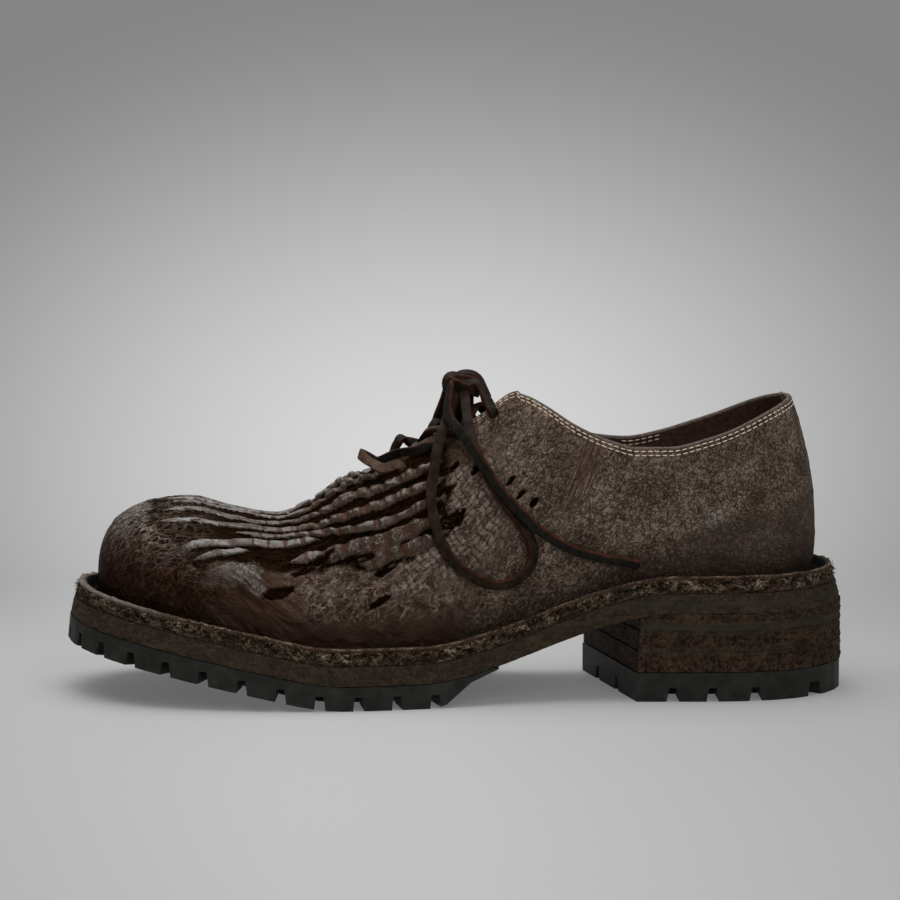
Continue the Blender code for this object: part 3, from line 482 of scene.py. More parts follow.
SUMS = {"plus": "ADD", "minus": "SUBTRACT", "times": "MULTIPLY", "over": "DIVIDE", "most": "MAXIMUM",
        "size": "ABSOLUTE"}
for kind, operation in SUMS.items():
    KINDS[kind] = Kind("Math", (0, 1), 0, {"operation": operation})


def colour(code):
    """A colour written as sRGB hex, in the linear numbers that shaders use."""
    shares = [int(code[i:i + 2], 16) / 255 for i in (1, 3, 5)]
    return (*(s / 12.92 if s <= 0.04045 else ((s + 0.055) / 1.055) ** 2.4 for s in shares), 1.0)


def feed(tree, node, inputs):
    """Sets inputs of a node to values, or links them to the outputs of other nodes."""
    for key, value in inputs.items():
        if isinstance(value, bpy.types.NodeSocket):
            tree.links.new(value, node.inputs[key])
        else:
            node.inputs[key].default_value = value


def add(tree, kind, *inputs, **settings):
    """Adds a node of a kind in the table with its settings and links, and gives its output."""
    row = KINDS[kind]
    node = tree.nodes.new("ShaderNode" + row.node)
    for name, value in {**row.settings, **settings}.items():
        setattr(node, name, value)
    feed(tree, node, dict(zip(row.inputs, inputs)))
    return node.outputs[row.output]


def material_named(name):
    """A new material, a function that adds nodes to its tree and one that feeds its shader."""
    material = bpy.data.materials.new(name)
    material.use_nodes = True
    tree = material.node_tree
    return material, partial(add, tree), partial(feed, tree, tree.nodes["Principled BSDF"])


print("kinds of shader node:", len(KINDS))

# %% [markdown]
# ## Paper floor and soft light
# Near the shoe a faint glow lightens the shadows, and the paper is painted darker towards the sides as a
# falloff of light.
# The shoe stands on a wide sheet of grey paper. A large soft box hangs overhead, a second one fills the
# near side and a weak one the far side, so shadows stay soft and waxed ridges catch a broad highlight.
# Far from the shoe the paper glows by a graded emission, which keeps the grey behind it free of noise.
# A curved sweep would give the same grey but would hide the shoe from behind, so the paper lies flat.

# %% Floor and lights
FLOOR_HALF_SIZE = 6.0
GLOW_DEPTH = 3.1
GLOW_MIDDLE, GLOW_SQUASH, GLOW_REACH, GLOW_STARTS = 0.025, 0.67, 0.254, (0.10, 0.28)


def paper():
    """Matt grey paper: painted darker towards the sides as a falloff of light, with a faint glow that
    lightens the shadows under the shoe, and a graded glow brightest just behind it.
    """
    material, node, finish = material_named("graded grey paper")
    tree = material.node_tree
    eye = scene.camera.location
    x, y = node("x_of", node("place")), node("y_of", node("place"))
    shrink = node("over", GLOW_DEPTH, node("plus", y, -eye.y))
    wide = node("times", node("minus", x, eye.x), shrink)
    wide = node("times", node("plus", wide, eye.x - GLOW_MIDDLE), GLOW_SQUASH)
    tall = node("times", node("minus", 1.0, shrink), eye.z)
    far = node("length", node("pair", wide, tall))
    fall = node("range", far, 0.0, GLOW_REACH, interpolation_type="SMOOTHSTEP")
    glow = node("mix", fall, colour("#d7d7d7"), colour("#858585"))
    # Painted falloff of light: the paper is coloured darker towards the sides, and a faint white glow
    # lightens the shadows under the shoe.
    aside = node("size", node("plus", x, 0.045))
    floor = node("mix", node("range", aside, 0.03, 0.24), colour("#b8b8b8"), colour("#9b9b9b"))
    finish({"Base Color": floor, "Emission Color": colour("#ffffff"), "Emission Strength": 0.12,
            "Roughness": 0.9, "Specular IOR Level": 0.1})
    lit = tree.nodes["Principled BSDF"].outputs[0]
    both = node("either", node("range", y, *GLOW_STARTS), lit, node("glow", glow, 1.0))
    feed(tree, tree.nodes["Material Output"], {"Surface": both})
    return material


ends = -FLOOR_HALF_SIZE, FLOOR_HALF_SIZE
mesh = bpy.data.meshes.new("paper_floor")
mesh.from_pydata([(x, y, 0.0) for x in ends for y in ends], [], [(0, 2, 3, 1)])
mesh.materials.append(paper())
floor = bpy.data.objects.new("paper_floor", mesh)
scene.collection.objects.link(floor)
floor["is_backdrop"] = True

Lamp = namedtuple("Lamp", "name place target size power")
LAMPS = (
    Lamp("soft_box_overhead", (-0.10, 0.10, 1.50), (0.0, 0.0, 0.05), 1.6, 20.0),
    Lamp("soft_box_front", (0.45, -1.6, 1.20), (0.0, 0.0, 0.05), 1.0, 6.0),
    Lamp("soft_box_back", (-0.30, 1.8, 0.90), (0.0, 0.0, 0.05), 1.2, 3.5),
)
for lamp in LAMPS:
    data = bpy.data.lights.new(lamp.name, "AREA")
    data.size, data.energy = lamp.size, lamp.power
    aim(bpy.data.objects.new(lamp.name, data), lamp.place, lamp.target)
world = bpy.data.worlds.new("studio")
world.use_nodes = True
feed(world.node_tree, world.node_tree.nodes["Background"], {"Color": colour("#8c8c8c"), "Strength": 0.5})
scene.world = world
print("lamps:", [lamp.name for lamp in LAMPS])

# %% [markdown]
# ## The thong lace
# The lace is a flat thong cut from thick leather: grey and waxed on its faces, raw and red on its edges.
# It is swept along listed routes, with a direction at every point that its face looks towards.
# The bow's loops and ends lie on the sides of the shoe, so they are placed in side view and lifted off it.

# %% Lace routes
THONG_WIDTH, THONG_THICK = 3.9, 2.0
EYELET_FIRST_X, EYELET_PITCH, EYELET_ROWS = -22.5, 12.4, 4
EYELET_INSET_FRONT, EYELET_INSET_TOP, EYELET_RADIUS = 9.5, 5.0, 1.9
KNOT = np.array((3.5, 1.0, 121.0))
KNOT_RADII = np.array((8.0, 6.0, 5.4))
Lay = namedtuple("Lay", "x z lift")
LATERAL_LOOP = (
    Lay(6.0, 103.0, 4.6), Lay(7.0, 96.5, 3.2), Lay(10.5, 89.0, 2.3), Lay(15.0, 81.0, 2.0),
    Lay(20.0, 74.5, 2.0), Lay(25.0, 67.5, 2.0), Lay(28.2, 60.5, 2.0), Lay(27.0, 53.5, 2.0),
    Lay(21.5, 48.0, 2.0), Lay(13.5, 46.2, 2.0), Lay(4.5, 49.3, 2.0), Lay(-3.0, 55.3, 2.0),
    Lay(-7.5, 62.5, 2.0), Lay(-10.3, 72.0, 2.0), Lay(-10.8, 80.0, 2.2), Lay(-8.8, 88.5, 3.4),
    Lay(-5.5, 96.5, 5.8),
)
LATERAL_END = (
    Lay(0.0, 103.0, 9.0), Lay(5.0, 97.5, 6.8), Lay(11.0, 89.0, 5.6), Lay(17.0, 80.5, 5.1),
    Lay(24.0, 72.8, 4.8), Lay(30.5, 67.0, 3.6), Lay(38.0, 62.3, 2.2), Lay(46.0, 58.6, 2.0),
    Lay(55.0, 56.2, 2.0), Lay(62.5, 54.8, 2.0), Lay(70.0, 53.6, 2.0),
)
MEDIAL_LOOP = (
    Lay(-5.0, 99.0, 6.4), Lay(-10.5, 88.0, 4.0), Lay(-13.0, 77.0, 2.0), Lay(-11.0, 66.0, 2.0),
    Lay(-3.0, 57.5, 2.0), Lay(7.5, 54.5, 2.0), Lay(16.0, 59.0, 2.0), Lay(18.0, 69.0, 2.0),
    Lay(14.0, 80.0, 2.1), Lay(8.5, 91.0, 4.4), Lay(4.0, 101.0, 6.8),
)
MEDIAL_END = (
    Lay(9.5, 102.0, 8.4), Lay(17.0, 93.0, 4.2), Lay(25.0, 83.5, 2.2), Lay(32.0, 74.0, 2.0),
    Lay(40.0, 66.5, 2.0), Lay(49.0, 62.0, 2.0), Lay(58.0, 60.0, 2.0),
)
print("places of the bow:", sum(map(len, (LATERAL_LOOP, LATERAL_END, MEDIAL_LOOP, MEDIAL_END))))

# %% [markdown]
# ## How a thong is swept
# A thong is flat with eased edges. That section is carried along a route and turned so that its face looks
# where it is told. A curve object with a bevel would be shorter to write, but it twists where it likes.

# %% Sweeping a flat thong
THONG_STEP, THONG_SIDES, THONG_SQUARENESS = 1.1, 16, 0.25


def unit(vectors):
    """The same directions with a length of 1."""
    vectors = np.asarray(vectors, float)
    return vectors / np.linalg.norm(vectors, axis=-1, keepdims=True)


def thong(route, faces_to, tilts=((0, 0),), seed=0, grow=1.0):
    """A flat strip with rounded edges along a route: its points, faces, edge mask and middle line.
    tilts says how many degrees it leans on its edge at some shares of its length, and grow how much thicker
    a folded bundle is than one strip."""
    sides = THONG_SIDES
    curve = spaced(through(np.column_stack([route, faces_to]), 12), THONG_STEP)
    path, up = curve[:, :3], curve[:, 3:]
    along = unit(np.gradient(path, axis=0))
    flat = unit(np.cross(along, up))
    rise = np.cross(flat, along)
    run = run_along(path)
    turn = np.radians(np.interp(run / run[-1], *zip(*tilts)))[:, None]
    flat, rise = flat * np.cos(turn) + rise * np.sin(turn), rise * np.cos(turn) - flat * np.sin(turn)
    corner = np.linspace(0, 2 * math.pi, sides, endpoint=False)
    wide, thick = (np.sign(c) * np.abs(c) ** THONG_SQUARENESS for c in (np.cos(corner), np.sin(corner)))
    uneven = grow + 0.08 * hills(run[:, None] / 4, corner[None, :], seed)
    ring = path[:, None] + flat[:, None] * (uneven * wide * THONG_WIDTH / 2)[..., None]
    ring = ring + rise[:, None] * (uneven * thick * THONG_THICK / 2)[..., None]
    faces = grid_faces(len(path), sides, wrap=True).tolist()
    last = (len(path) - 1) * sides
    faces += [list(range(sides))[::-1], list(range(last, last + sides))]
    edge = np.tile(step(0.55, 0.85, np.abs(wide) - np.abs(thick) * 0.2), len(path))
    return ring.reshape(-1, 3), faces, edge, path


def joined(strips):
    """Several strips as one set of points, faces and edge masks."""
    points, faces, edges = [], [], []
    count = 0
    for strip_points, strip_faces, edge, _ in strips:
        faces += [[i + count for i in face] for face in strip_faces]
        points.append(strip_points)
        edges.append(edge)
        count += len(strip_points)
    return np.vstack(points), faces, np.concatenate(edges)


def eyelet(side, row):
    """Middle of a lace hole on the upper's surface, and the direction out of the leather there."""
    x = EYELET_FIRST_X + EYELET_PITCH * row
    inset = EYELET_INSET_FRONT + (EYELET_INSET_TOP - EYELET_INSET_FRONT) * row / (EYELET_ROWS - 1)
    line, run, top = half_section(across(side, x))
    z = np.interp(top + inset, run, line[:, 2])
    return side_point(side, x, z, 0.0)


EYELETS = {side: [eyelet(side, row) for row in range(EYELET_ROWS)] for side in SIDES}
print("lowest near eyelet at", EYELETS[LATERAL][0][0].round(1))

# %% [markdown]
# ## Finish of the thong
# The faces are waxed, dark brown or grey-green, and the cut edges are raw and red. One noise of 3 mm
# mottles the wax and one of 0.6 mm makes the pores. A mask on the points tells edge from face, so nothing
# has to be unwrapped or painted.

# %% Finish of the thong
WAX_MOTTLE, PORES = 0.003, 0.0006


def thong_leather():
    """Waxed strap leather: dull grey-green or brown faces with a soft sheen, and raw red cut edges."""
    material, node, finish = material_named("waxed thong leather")
    mottle = node("noise", node("place"), 1 / WAX_MOTTLE, 6.0)
    pores = node("noise", node("place"), 1 / PORES, 3.0)
    waxed = node("range", mottle, 0.35, 0.65)
    brown = node("mix", waxed, colour("#20160f"), colour("#3a2b22"))
    grey = node("mix", waxed, colour("#181815"), colour("#2a2924"))
    # Painted light: the pale mask makes the face of the first strap paler where it curls forward towards
    # the front.
    rubbed_and_lit = node("mix", waxed, colour("#4f3d31"), colour("#776253"))
    raw = node("mix", node("range", mottle, 0.4, 0.7), colour("#331c12"), colour("#502e1d"))
    face = node("mix", node("mask", attribute_name="grey"), brown, grey)
    face = node("mix", node("mask", attribute_name="pale"), face, rubbed_and_lit)
    tone = node("mix", node("mask", attribute_name="cut_edge"), face, raw)
    pitted = node("bump", pores, 0.0003, 0.5)
    finish({"Base Color": tone, "Normal": pitted, "Roughness": 0.55, "Specular IOR Level": 0.08})
    return material


THONG_LEATHER = thong_leather()
print("made", THONG_LEATHER.name)

# %% [markdown]
# ## The bow
# Two loops and two ends leave the knot and lie on the leather. Each follows its list of places, lifted off
# the side by about half its thickness, and leans on an edge where the thong is bent the hard way.

# %% Loops and ends of the bow
KNOT_CLEARANCE = 0.4


def knot_face(direction):
    """A point just outside the knot, in a direction from its middle."""
    way = np.array(direction, float)
    return KNOT + way / np.linalg.norm(way / KNOT_RADII) + unit(way) * KNOT_CLEARANCE


Tail = namedtuple("Tail", "node side lays start end tilts far_end")
TAILS = (
    Tail("lace_loop_lateral", LATERAL, LATERAL_LOOP, (-0.05, -1, -0.55), (-0.7, -0.8, -0.9),
         ((0, 0), (0.2, 20), (0.62, 38), (0.74, -25), (0.9, -35), (1, -10)), "knot"),
    Tail("lace_end_lateral", LATERAL, LATERAL_END, (-1, -0.9, 0.1), None,
         ((0, -20), (0.3, -25), (0.6, -38), (1, -38)), "bare"),
    Tail("lace_loop_medial", MEDIAL, MEDIAL_LOOP, (-1, 1, -0.1), (0.1, 1, -0.1),
         ((0, 0), (0.5, 30), (1, 0)), "knot"),
    Tail("lace_end_medial", MEDIAL, MEDIAL_END, (0.6, 1, 0.35), None,
         ((0, 0), (0.5, 30), (1, 30)), "bare"),
)
for seed, tail in enumerate(TAILS):
    places = [side_point(tail.side, lay.x, lay.z, lay.lift) for lay in tail.lays]
    route = [knot_face(tail.start)] + [place for place, _ in places]
    faces_to = [unit(tail.start)] + [outward for _, outward in places]
    if tail.end:
        route.append(knot_face(tail.end))
        faces_to.append(unit(tail.end))
    points, faces, edge, path = thong(route, faces_to, tail.tilts, seed)
    grey = np.full(len(points), 1.0 if tail.far_end == "bare" else 0.3)
    strip = piece(tail.node + "_thong", points, faces, THONG_LEATHER, "thong_leather",
                  cut_edge=edge, grey=grey)
    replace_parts(strip, tail.node)

# %% [markdown]
# ## Crossings
# Between the eyelets the thong is stiff and stands on its edge: the first strap curls forward over the
# vamp and comes back along the throat, and the others arch over the tongue. Each strap is a list of
# points with the way its face looks, because no formula ties a bow as untidily as a hand.

# %% Straps through the eyelets
HOLE_DEPTH, HOLE_RISE = 3.0, 1.2
Strap = namedtuple("Strap", "start end places looks")
STRAPS = (
    Strap((LATERAL, 0), (LATERAL, 1),
          ((-28.8, -16.0, 89.4), (-33.8, -13.5, 91.4), (-37.1, -8.5, 93.6), (-36.9, -4.0, 93.4),
           (-34.5, -0.5, 91.8), (-30.4, 0.0, 89.8), (-23.9, -4.0, 93.2), (-16.0, -10.5, 95.4)),
          ((0.1, -0.9, 0.3), (-0.4, -0.9, 0.3), (-0.9, -0.4, 0.3), (-0.9, 0.5, 0.3),
           (0.2, 0.9, 0.2), (0.2, 0.9, 0.1), (0.4, 0.9, 0.1), (0.5, 0.8, 0.2))),
    Strap((MEDIAL, 0), (MEDIAL, 1),
          ((-24.5, 9.5, 92.5), (-22.9, 4.0, 95.8), (-21.0, 4.5, 98.6), (-18.1, 9.0, 96.6)),
          ((-0.9, 0.2, 0.4), (-0.9, -0.4, 0.2), (0.2, -0.3, 0.9), (0.8, -0.1, 0.5))),
    Strap((MEDIAL, 1), (LATERAL, 2),
          ((-12.8, 9.0, 97.0), (-12.2, 3.0, 99.5), (-11.0, -0.5, 101.6), (-8.1, -4.0, 103.2),
           (-4.1, -9.0, 103.2)),
          ((-0.8, 0.2, 0.5), (-0.8, 0.0, 0.6), (-0.5, -0.2, 0.8), (-0.1, -0.2, 1.0), (0.0, -0.3, 1.0))),
    Strap((MEDIAL, 1), (MEDIAL, 2),
          ((-9.6, 7.0, 100.5), (-6.6, 7.0, 104.6), (-3.0, 11.0, 101.6)),
          ((-0.8, -0.4, 0.4), (0.0, -0.3, 1.0), (0.8, -0.1, 0.5))),
    Strap((LATERAL, 2), (MEDIAL, 3),
          ((5.0, -7.0, 108.4), (8.5, 1.5, 111.6), (12.0, 9.0, 109.0)),
          ((-0.4, -0.2, 0.9), (-0.4, 0.0, 0.9), (-0.4, 0.3, 0.9))),
    Strap((LATERAL, 3), None,
          ((13.0, -11.5, 113.4), (10.6, -6.5, 118.2), (8.4, -4.2, 121.4), (4.9, -3.8, 120.6),
           (1.5, -1.0, 119.5)),
          ((0.4, -0.8, 0.3), (0.5, -0.6, 0.5), (0.1, -0.5, 0.9), (-0.2, -0.6, 0.7), (-0.3, -0.5, 0.8))),
    Strap((MEDIAL, 3), None,
          ((14.0, 13.0, 109.0), (12.0, 9.0, 115.5), (9.0, 5.0, 120.5), (5.0, 2.5, 121.5)),
          ((0.4, 0.8, 0.3), (0.6, 0.6, 0.4), (0.5, 0.4, 0.7), (0.0, 0.3, 0.9))),
)


def strap_between(strap, seed):
    """A thong out of one hole, over its listed points, and into another hole or the knot."""
    a, a_out = EYELETS[strap.start[0]][strap.start[1]]
    route = [a - a_out * HOLE_DEPTH, a + a_out * HOLE_RISE, *strap.places]
    looks = [strap.looks[0]] * 2 + list(strap.looks)
    if strap.end:
        b, b_out = EYELETS[strap.end[0]][strap.end[1]]
        route += [b + b_out * HOLE_RISE, b - b_out * HOLE_DEPTH]
        looks += [strap.looks[-1]] * 2
    return thong(np.array(route), unit(looks), seed=seed)


strips = [strap_between(strap, 10 + i) for i, strap in enumerate(STRAPS)]
points, faces, edge = joined(strips)
curl_forward = len(strips[0][0])
share = np.linspace(0, 1, curl_forward)
# The first strap is painted paler over the half that curls forward, as light on its face, and grey where it
# comes back.
pale, grey = np.zeros(len(points)), np.full(len(points), 0.6)
pale[:curl_forward], grey[:curl_forward] = step(0.52, 0.44, share), step(0.44, 0.56, share)
straps = piece("lace_through_eyelets", points, faces, THONG_LEATHER, "thong_leather",
               cut_edge=edge, grey=grey, pale=pale)
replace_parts(straps, "lace_crossings")

# %% [markdown]
# ## The knot
# A knot is only more thong: two folded ears, a band round them and a thicker core of folded layers.
# Short sweeps placed one by one make it, because a ball or a ring would read as a bead.

# %% The knot, two folded ears held by a band over a folded core
Turn = namedtuple("Turn", "grow offsets looks")
TURNS = (
    Turn(1.0,
         ((-6.6, -3.0, -3.0), (-7.0, -2.0, 0.3), (-5.5, -1.0, 2.6), (-2.8, -0.5, 2.4),
          (0.5, -1.0, 0.9), (3.5, -1.0, -1.0)),
         ((-1, -0.6, -0.2), (-1, -0.5, 0.3), (-0.4, -0.6, 0.9), (0.4, -0.6, 0.9),
          (0.5, -0.6, 0.8), (0.5, -0.6, 0.7))),
    Turn(1.0,
         ((-3.5, 1.0, 1.2), (-1.0, 1.8, 2.9), (2.5, 2.0, 3.1), (5.6, 2.0, 1.6),
          (7.8, 1.0, -1.8), (9.2, -1.5, -5.2)),
         ((-0.3, -0.5, 0.9), (-0.2, -0.5, 1), (0.2, -0.5, 1), (0.7, -0.4, 0.7),
          (0.9, -0.3, 0.3), (0.9, -0.5, 0.2))),
    Turn(1.0,
         ((-6.0, -3.8, 1.2), (-2.6, -5.4, -0.4), (1.2, -5.6, -1.9), (4.2, -4.6, -3.2),
          (5.4, -1.5, -3.8), (3.0, 2.5, -3.2)),
         ((-0.6, -0.8, -0.2), (-0.3, -0.9, -0.3), (0.1, -1, -0.3), (0.6, -0.8, -0.3),
          (1, 0, -0.3), (0.5, 0.9, -0.3))),
    Turn(1.9,
         ((-5.0, 0.0, -0.2), (0.0, -0.6, -0.6), (4.5, 0.0, -1.6)),
         ((0, -1, 0), (0, -1, 0), (0, -1, 0))),
)
turns = []
for seed, turn in enumerate(TURNS, 30):
    turns.append(thong(KNOT + np.array(turn.offsets), unit(turn.looks), seed=seed, grow=turn.grow))
points, faces, edge = joined(turns)
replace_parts(piece("bow_knot", points, faces, THONG_LEATHER, "thong_leather", cut_edge=edge), "lace_knot")

# %% [markdown]
# ## The upper
# The leather was soaked, pressed into lengthwise pleats and torn back, so that polished strips stand
# between rough channels on the vamp, break into pads at the instep and fade into nap on the quarter.
# The surface is unrolled first: every point gets its place on the flat hide, along the shoe and down
# from the ridge. Strips, pits and creases are placed one by one on that flat hide and pushed out or in.
# A sculpted mesh could do the same, but numbers on a flat hide are easy to compare with a ruler.

# %% Strips, pits and creases on the flat hide
Strip = namedtuple("Strip", "half line")
STRIPS = (
    Strip(1.5, ((-118, 1.0), (-90, 0.5), (-69, 0.5), (-50, 1.0), (-33, 1.0))),
    Strip(1.6, ((-116, 8.5), (-85, 6.8), (-69, 6.4), (-55, 9.5), (-42, 9.5), (-30, 11.5), (-18, 14.0))),
    Strip(1.7, ((-120, 15.5), (-108, 16.5), (-82, 16.5), (-69, 13.6), (-62, 17.0), (-49, 20.0), (-37, 20.6),
                (-16, 23.6), (-2, 25.0))),
    Strip(1.7, ((-123, 23.0), (-104, 25.5), (-96, 25.0), (-81, 21.7), (-70, 20.4), (-62, 22.8), (-48, 28.7),
                (-38, 30.0), (-26, 30.2), (-13, 32.0), (-2, 33.0))),
    Strip(1.6, ((-92, 29.5), (-82, 26.7), (-70, 25.4), (-62, 27.2), (-54, 31.0), (-47, 35.6), (-40, 38.0),
                (-28, 39.4), (-13, 40.3), (-2, 41.5))),
    Strip(2.2, ((-123, 45.0), (-114, 43.6), (-108, 41.0), (-93, 35.8), (-82, 32.4), (-70, 30.4),
                (-62, 31.4), (-52, 34.5))),
    Strip(1.7, ((-109, 49.0), (-97, 42.8), (-88, 38.3), (-78, 35.6))),
    Strip(2.6, ((-71, 40.6), (-62, 40.6), (-53, 43.2), (-44, 45.3), (-35, 46.8), (-23, 47.8),
                (-4, 48.5))),
    Strip(2.2, ((-46, 52.0), (-36, 53.0), (-25, 53.7), (-19, 55.0), (-4, 57.0))),
)
Reach = namedtuple("Reach", "x limit")
TORN_REACH = (
    Reach(-126.0, 22.0), Reach(-112.0, 36.0), Reach(-104.0, 48.0), Reach(-96.0, 46.0),
    Reach(-82.0, 41.5), Reach(-70.0, 43.0), Reach(-60.0, 46.0), Reach(-50.0, 50.0), Reach(-40.0, 54.0),
    Reach(-25.0, 58.0), Reach(0.0, 58.0),
)
Pit = namedtuple("Pit", "along down half_length half_width depth")
PITS = (
    Pit(-71.0, 54.2, 6.5, 2.3, 1.5), Pit(-57.0, 45.0, 7.5, 2.0, 1.4), Pit(-38.0, 51.7, 4.0, 1.7, 1.4),
    Pit(-29.0, 58.6, 4.5, 1.9, 1.5), Pit(-32.0, 70.5, 5.0, 1.6, 1.0), Pit(-3.0, 52.0, 5.0, 3.4, 1.2),
    Pit(-4.5, 38.5, 3.0, 1.7, 1.3), Pit(-1.8, 29.4, 1.9, 1.5, 1.6), Pit(7.0, 35.1, 2.1, 1.7, 1.6),
    Pit(20.0, 50.0, 1.7, 1.5, 1.5), Pit(24.0, 58.0, 1.9, 1.3, 1.5), Pit(29.0, 63.5, 1.6, 1.7, 1.5),
)
Rub = namedtuple("Rub", "along down half_length half_width lean")
RUBS = (
    Rub(-88.0, 48.4, 14.0, 5.6, -0.52), Rub(-80.5, 51.0, 6.0, 5.0, 0.70),
    Rub(-117.0, 43.6, 5.0, 2.6, -0.50), Rub(-70.0, 3.5, 8.0, 3.0, 0.00),
    Rub(-115.0, 22.0, 4.5, 1.4, 0.10), Rub(-133.0, 16.0, 3.0, 1.4, -0.10),
)
Crease = namedtuple("Crease", "along down along_end down_end depth half_width")
CREASES = (
    Crease(-89.0, 54.0, -77.0, 62.0, 0.55, 1.6), Crease(-76.0, 59.0, -65.0, 69.0, 0.45, 1.8),
    Crease(-62.0, 57.0, -46.0, 71.0, 0.50, 2.0), Crease(-100.0, 60.0, -84.0, 70.0, 0.35, 2.0),
    Crease(-44.0, 60.0, -28.0, 74.0, 0.40, 2.0), Crease(-22.0, 62.0, -6.0, 80.0, 0.40, 2.2),
    Crease(40.0, 42.0, 58.0, 66.0, 0.45, 2.4), Crease(96.0, 70.0, 100.0, 100.0, 0.35, 3.0),
)
BREAK_PITCH, BREAK_LEAN, PIT_LEAN = 6.4, -0.06, -0.22
CHANNEL_DEPTH = 1.35
KNIT_PITCH = 2.5
print(len(STRIPS), "strips,", len(PITS), "pits,", len(RUBS), "rubbed patches,", len(CREASES), "creases")

# %% [markdown]
# ## Strips, pits and rubbed patches
# Each function asks one question of a point on the flat hide: how far inside this feature is it?
# A distance in millimetres can be bent with a little noise until its edge wanders like torn leather.
# A painted height map could say the same, but only at one resolution.

# %% Relief of the hide, one feature at a time
Fade = namedtuple("Fade", "none full")
STRIP_UNEVEN, STRIP_WIDER = Fade(-80, -50), Fade(-75, -35)
STRIP_TAPER_FRONT, STRIP_TAPER_BACK, STRIP_LEAST_HALF = 13, 10, 0.5
FAR_OUTSIDE = -3.0


def inside_strip(strip, along, down, phase):
    """How far inside one strip a point lies, in millimetres and less than 0 outside, and its half width."""
    xs, ys = zip(*strip.line)
    middle = smooth(xs, ys, along) + 0.5 * hills(along / 5.0, phase, 41)
    middle = middle + 0.15 * hills(along / 1.6, phase, 42)
    uneven = 0.35 * hills(along / 4.5, phase, 43) * step(*STRIP_UNEVEN, along)
    uneven = uneven + 0.16 * hills(along / 9.0, phase, 38)
    half = strip.half * (1.0 + uneven) + 0.22 * hills(along / 1.7, phase, 40)
    half = np.maximum(half * (0.95 + 0.3 * step(*STRIP_WIDER, along)), STRIP_LEAST_HALF)
    ends = step(xs[0], xs[0] + STRIP_TAPER_FRONT, along) * step(xs[-1], xs[-1] - STRIP_TAPER_BACK, along)
    return half * ends - np.abs(down - middle) - 0.5 * (1 - ends), half


def oval(patch, lean, along, down):
    """Distance from the middle of a leaning oval patch, 1 at its rim."""
    ahead = along - patch.along
    return np.hypot(ahead / patch.half_length, (down - patch.down - lean * ahead) / patch.half_width)


def in_pits(along, down, signed):
    """How far inside the nearest torn pit a point lies, in millimetres, and the depth of that pit."""
    inside, depth = np.full_like(along, FAR_OUTSIDE), np.zeros_like(along)
    ragged = 0.3 * hills(along / 1.4, signed / 1.4, 54)
    for pit in PITS:
        here = (1 - oval(pit, PIT_LEAN, along, down) - ragged) * min(pit.half_length, pit.half_width)
        depth = np.where(here > inside, pit.depth, depth)
        inside = np.maximum(inside, here)
    return inside, depth


def in_rubs(along, down):
    """How far inside the nearest polished patch a point lies, in millimetres."""
    inside = np.full_like(along, FAR_OUTSIDE)
    for rub in RUBS:
        here = (1 - oval(rub, rub.lean, along, down)) * min(rub.half_length, rub.half_width)
        inside = np.maximum(inside, here)
    return inside


print("longest rubbed patch:", 2 * max(rub.half_length for rub in RUBS), "mm")

# %% [markdown]
# ## Creases and knit
# Walking folds the vamp into soft troughs with a ridge on each side, placed one by one. Beside the lacing
# the leather is pressed into leaning rows of small squares. A cloth simulation could fold the vamp, but
# not in chosen places, so both are heights on the flat hide again.

# %% Creases and knit


def creased(along, down):
    """Soft troughs with a ridge on each side, along the walking creases."""
    height = np.zeros_like(along)
    for crease in CREASES:
        way = np.array((crease.along_end - crease.along, crease.down_end - crease.down))
        share = ((along - crease.along) * way[0] + (down - crease.down) * way[1]) / (way @ way)
        off = ((along - crease.along) * way[1] - (down - crease.down) * way[0]) / np.linalg.norm(way)
        off = (off + 1.2 * hills(share * 3, crease.along, 55)) / crease.half_width
        inside = step(-0.15, 0.2, share) * step(1.15, 0.8, share)
        height += inside * crease.depth * (0.6 * np.exp(-((np.abs(off) - 2) ** 2)) - np.exp(-(off**2)))
    return height


def knitted(along, down, signed):
    """Square bumps in leaning rows like a knit, 1 on a bump and 0 in the grooves, and each bump's tone."""
    warp = 1.1 * hills(along / 6.0, signed / 6.0, 53) + 0.5 * hills(along / 2.0, signed / 2.0, 59)
    u = (0.92 * along - 0.40 * down + warp) / KNIT_PITCH
    v = (0.42 * along + 0.90 * down - warp) / KNIT_PITCH
    tone = hills(np.floor(u) * 1.37, np.floor(v) * 1.73, 46)
    return (1 - np.abs(2 * (u % 1) - 1) ** 4) * (1 - np.abs(2 * (v % 1) - 1) ** 4), tone


print("deepest crease:", max(crease.depth for crease in CREASES), "mm, knit of", KNIT_PITCH, "mm")

# %% [markdown]
# ## Pads and zones
# A strip runs flat over the toe and breaks into pads at the instep, square to its length. Torn, knitted and
# felted leather each keep to a zone of the hide that fades out at its borders, as hand work does.
# A zone could be painted on the mesh, but two distances and a fade are easier to move.

# %% Pads and zones
TORN_FOOT, TORN_TOE, TORN_QUARTER = Fade(4.0, -3.0), Fade(-130, -112), Fade(2, -10)
KNIT_FRONT, KNIT_BACK, KNIT_TOP, KNIT_FOOT = Fade(-34, -14), Fade(22, 12), Fade(26, 36), Fade(80, 68)
FELT_FRONT, FELT_BACK, FELT_TOP, FELT_FOOT = Fade(-74, -56), Fade(24, 4), Fade(38, 48), Fade(10, 24)
KNIT_LEAN, KNIT_LEVEL = 0.1, 58


def nearest_strip(side, along, down):
    """How far inside the nearest strip a point lies, how domed it is there, and which strip it is."""
    inside, dome, which = np.full_like(along, -6.0), np.zeros_like(along), np.zeros_like(along)
    for index, strip in enumerate(STRIPS):
        phase = index * 3.7 + (61.0 if side == MEDIAL and index else 0.0)
        here, half = inside_strip(strip, along, down, phase)
        dome = np.where(here > inside, np.sqrt(1 - (1 - np.clip(here / half, 0, 1)) ** 2), dome)
        which = np.where(here > inside, phase, which)
        inside = np.maximum(inside, here)
    return inside, dome, which


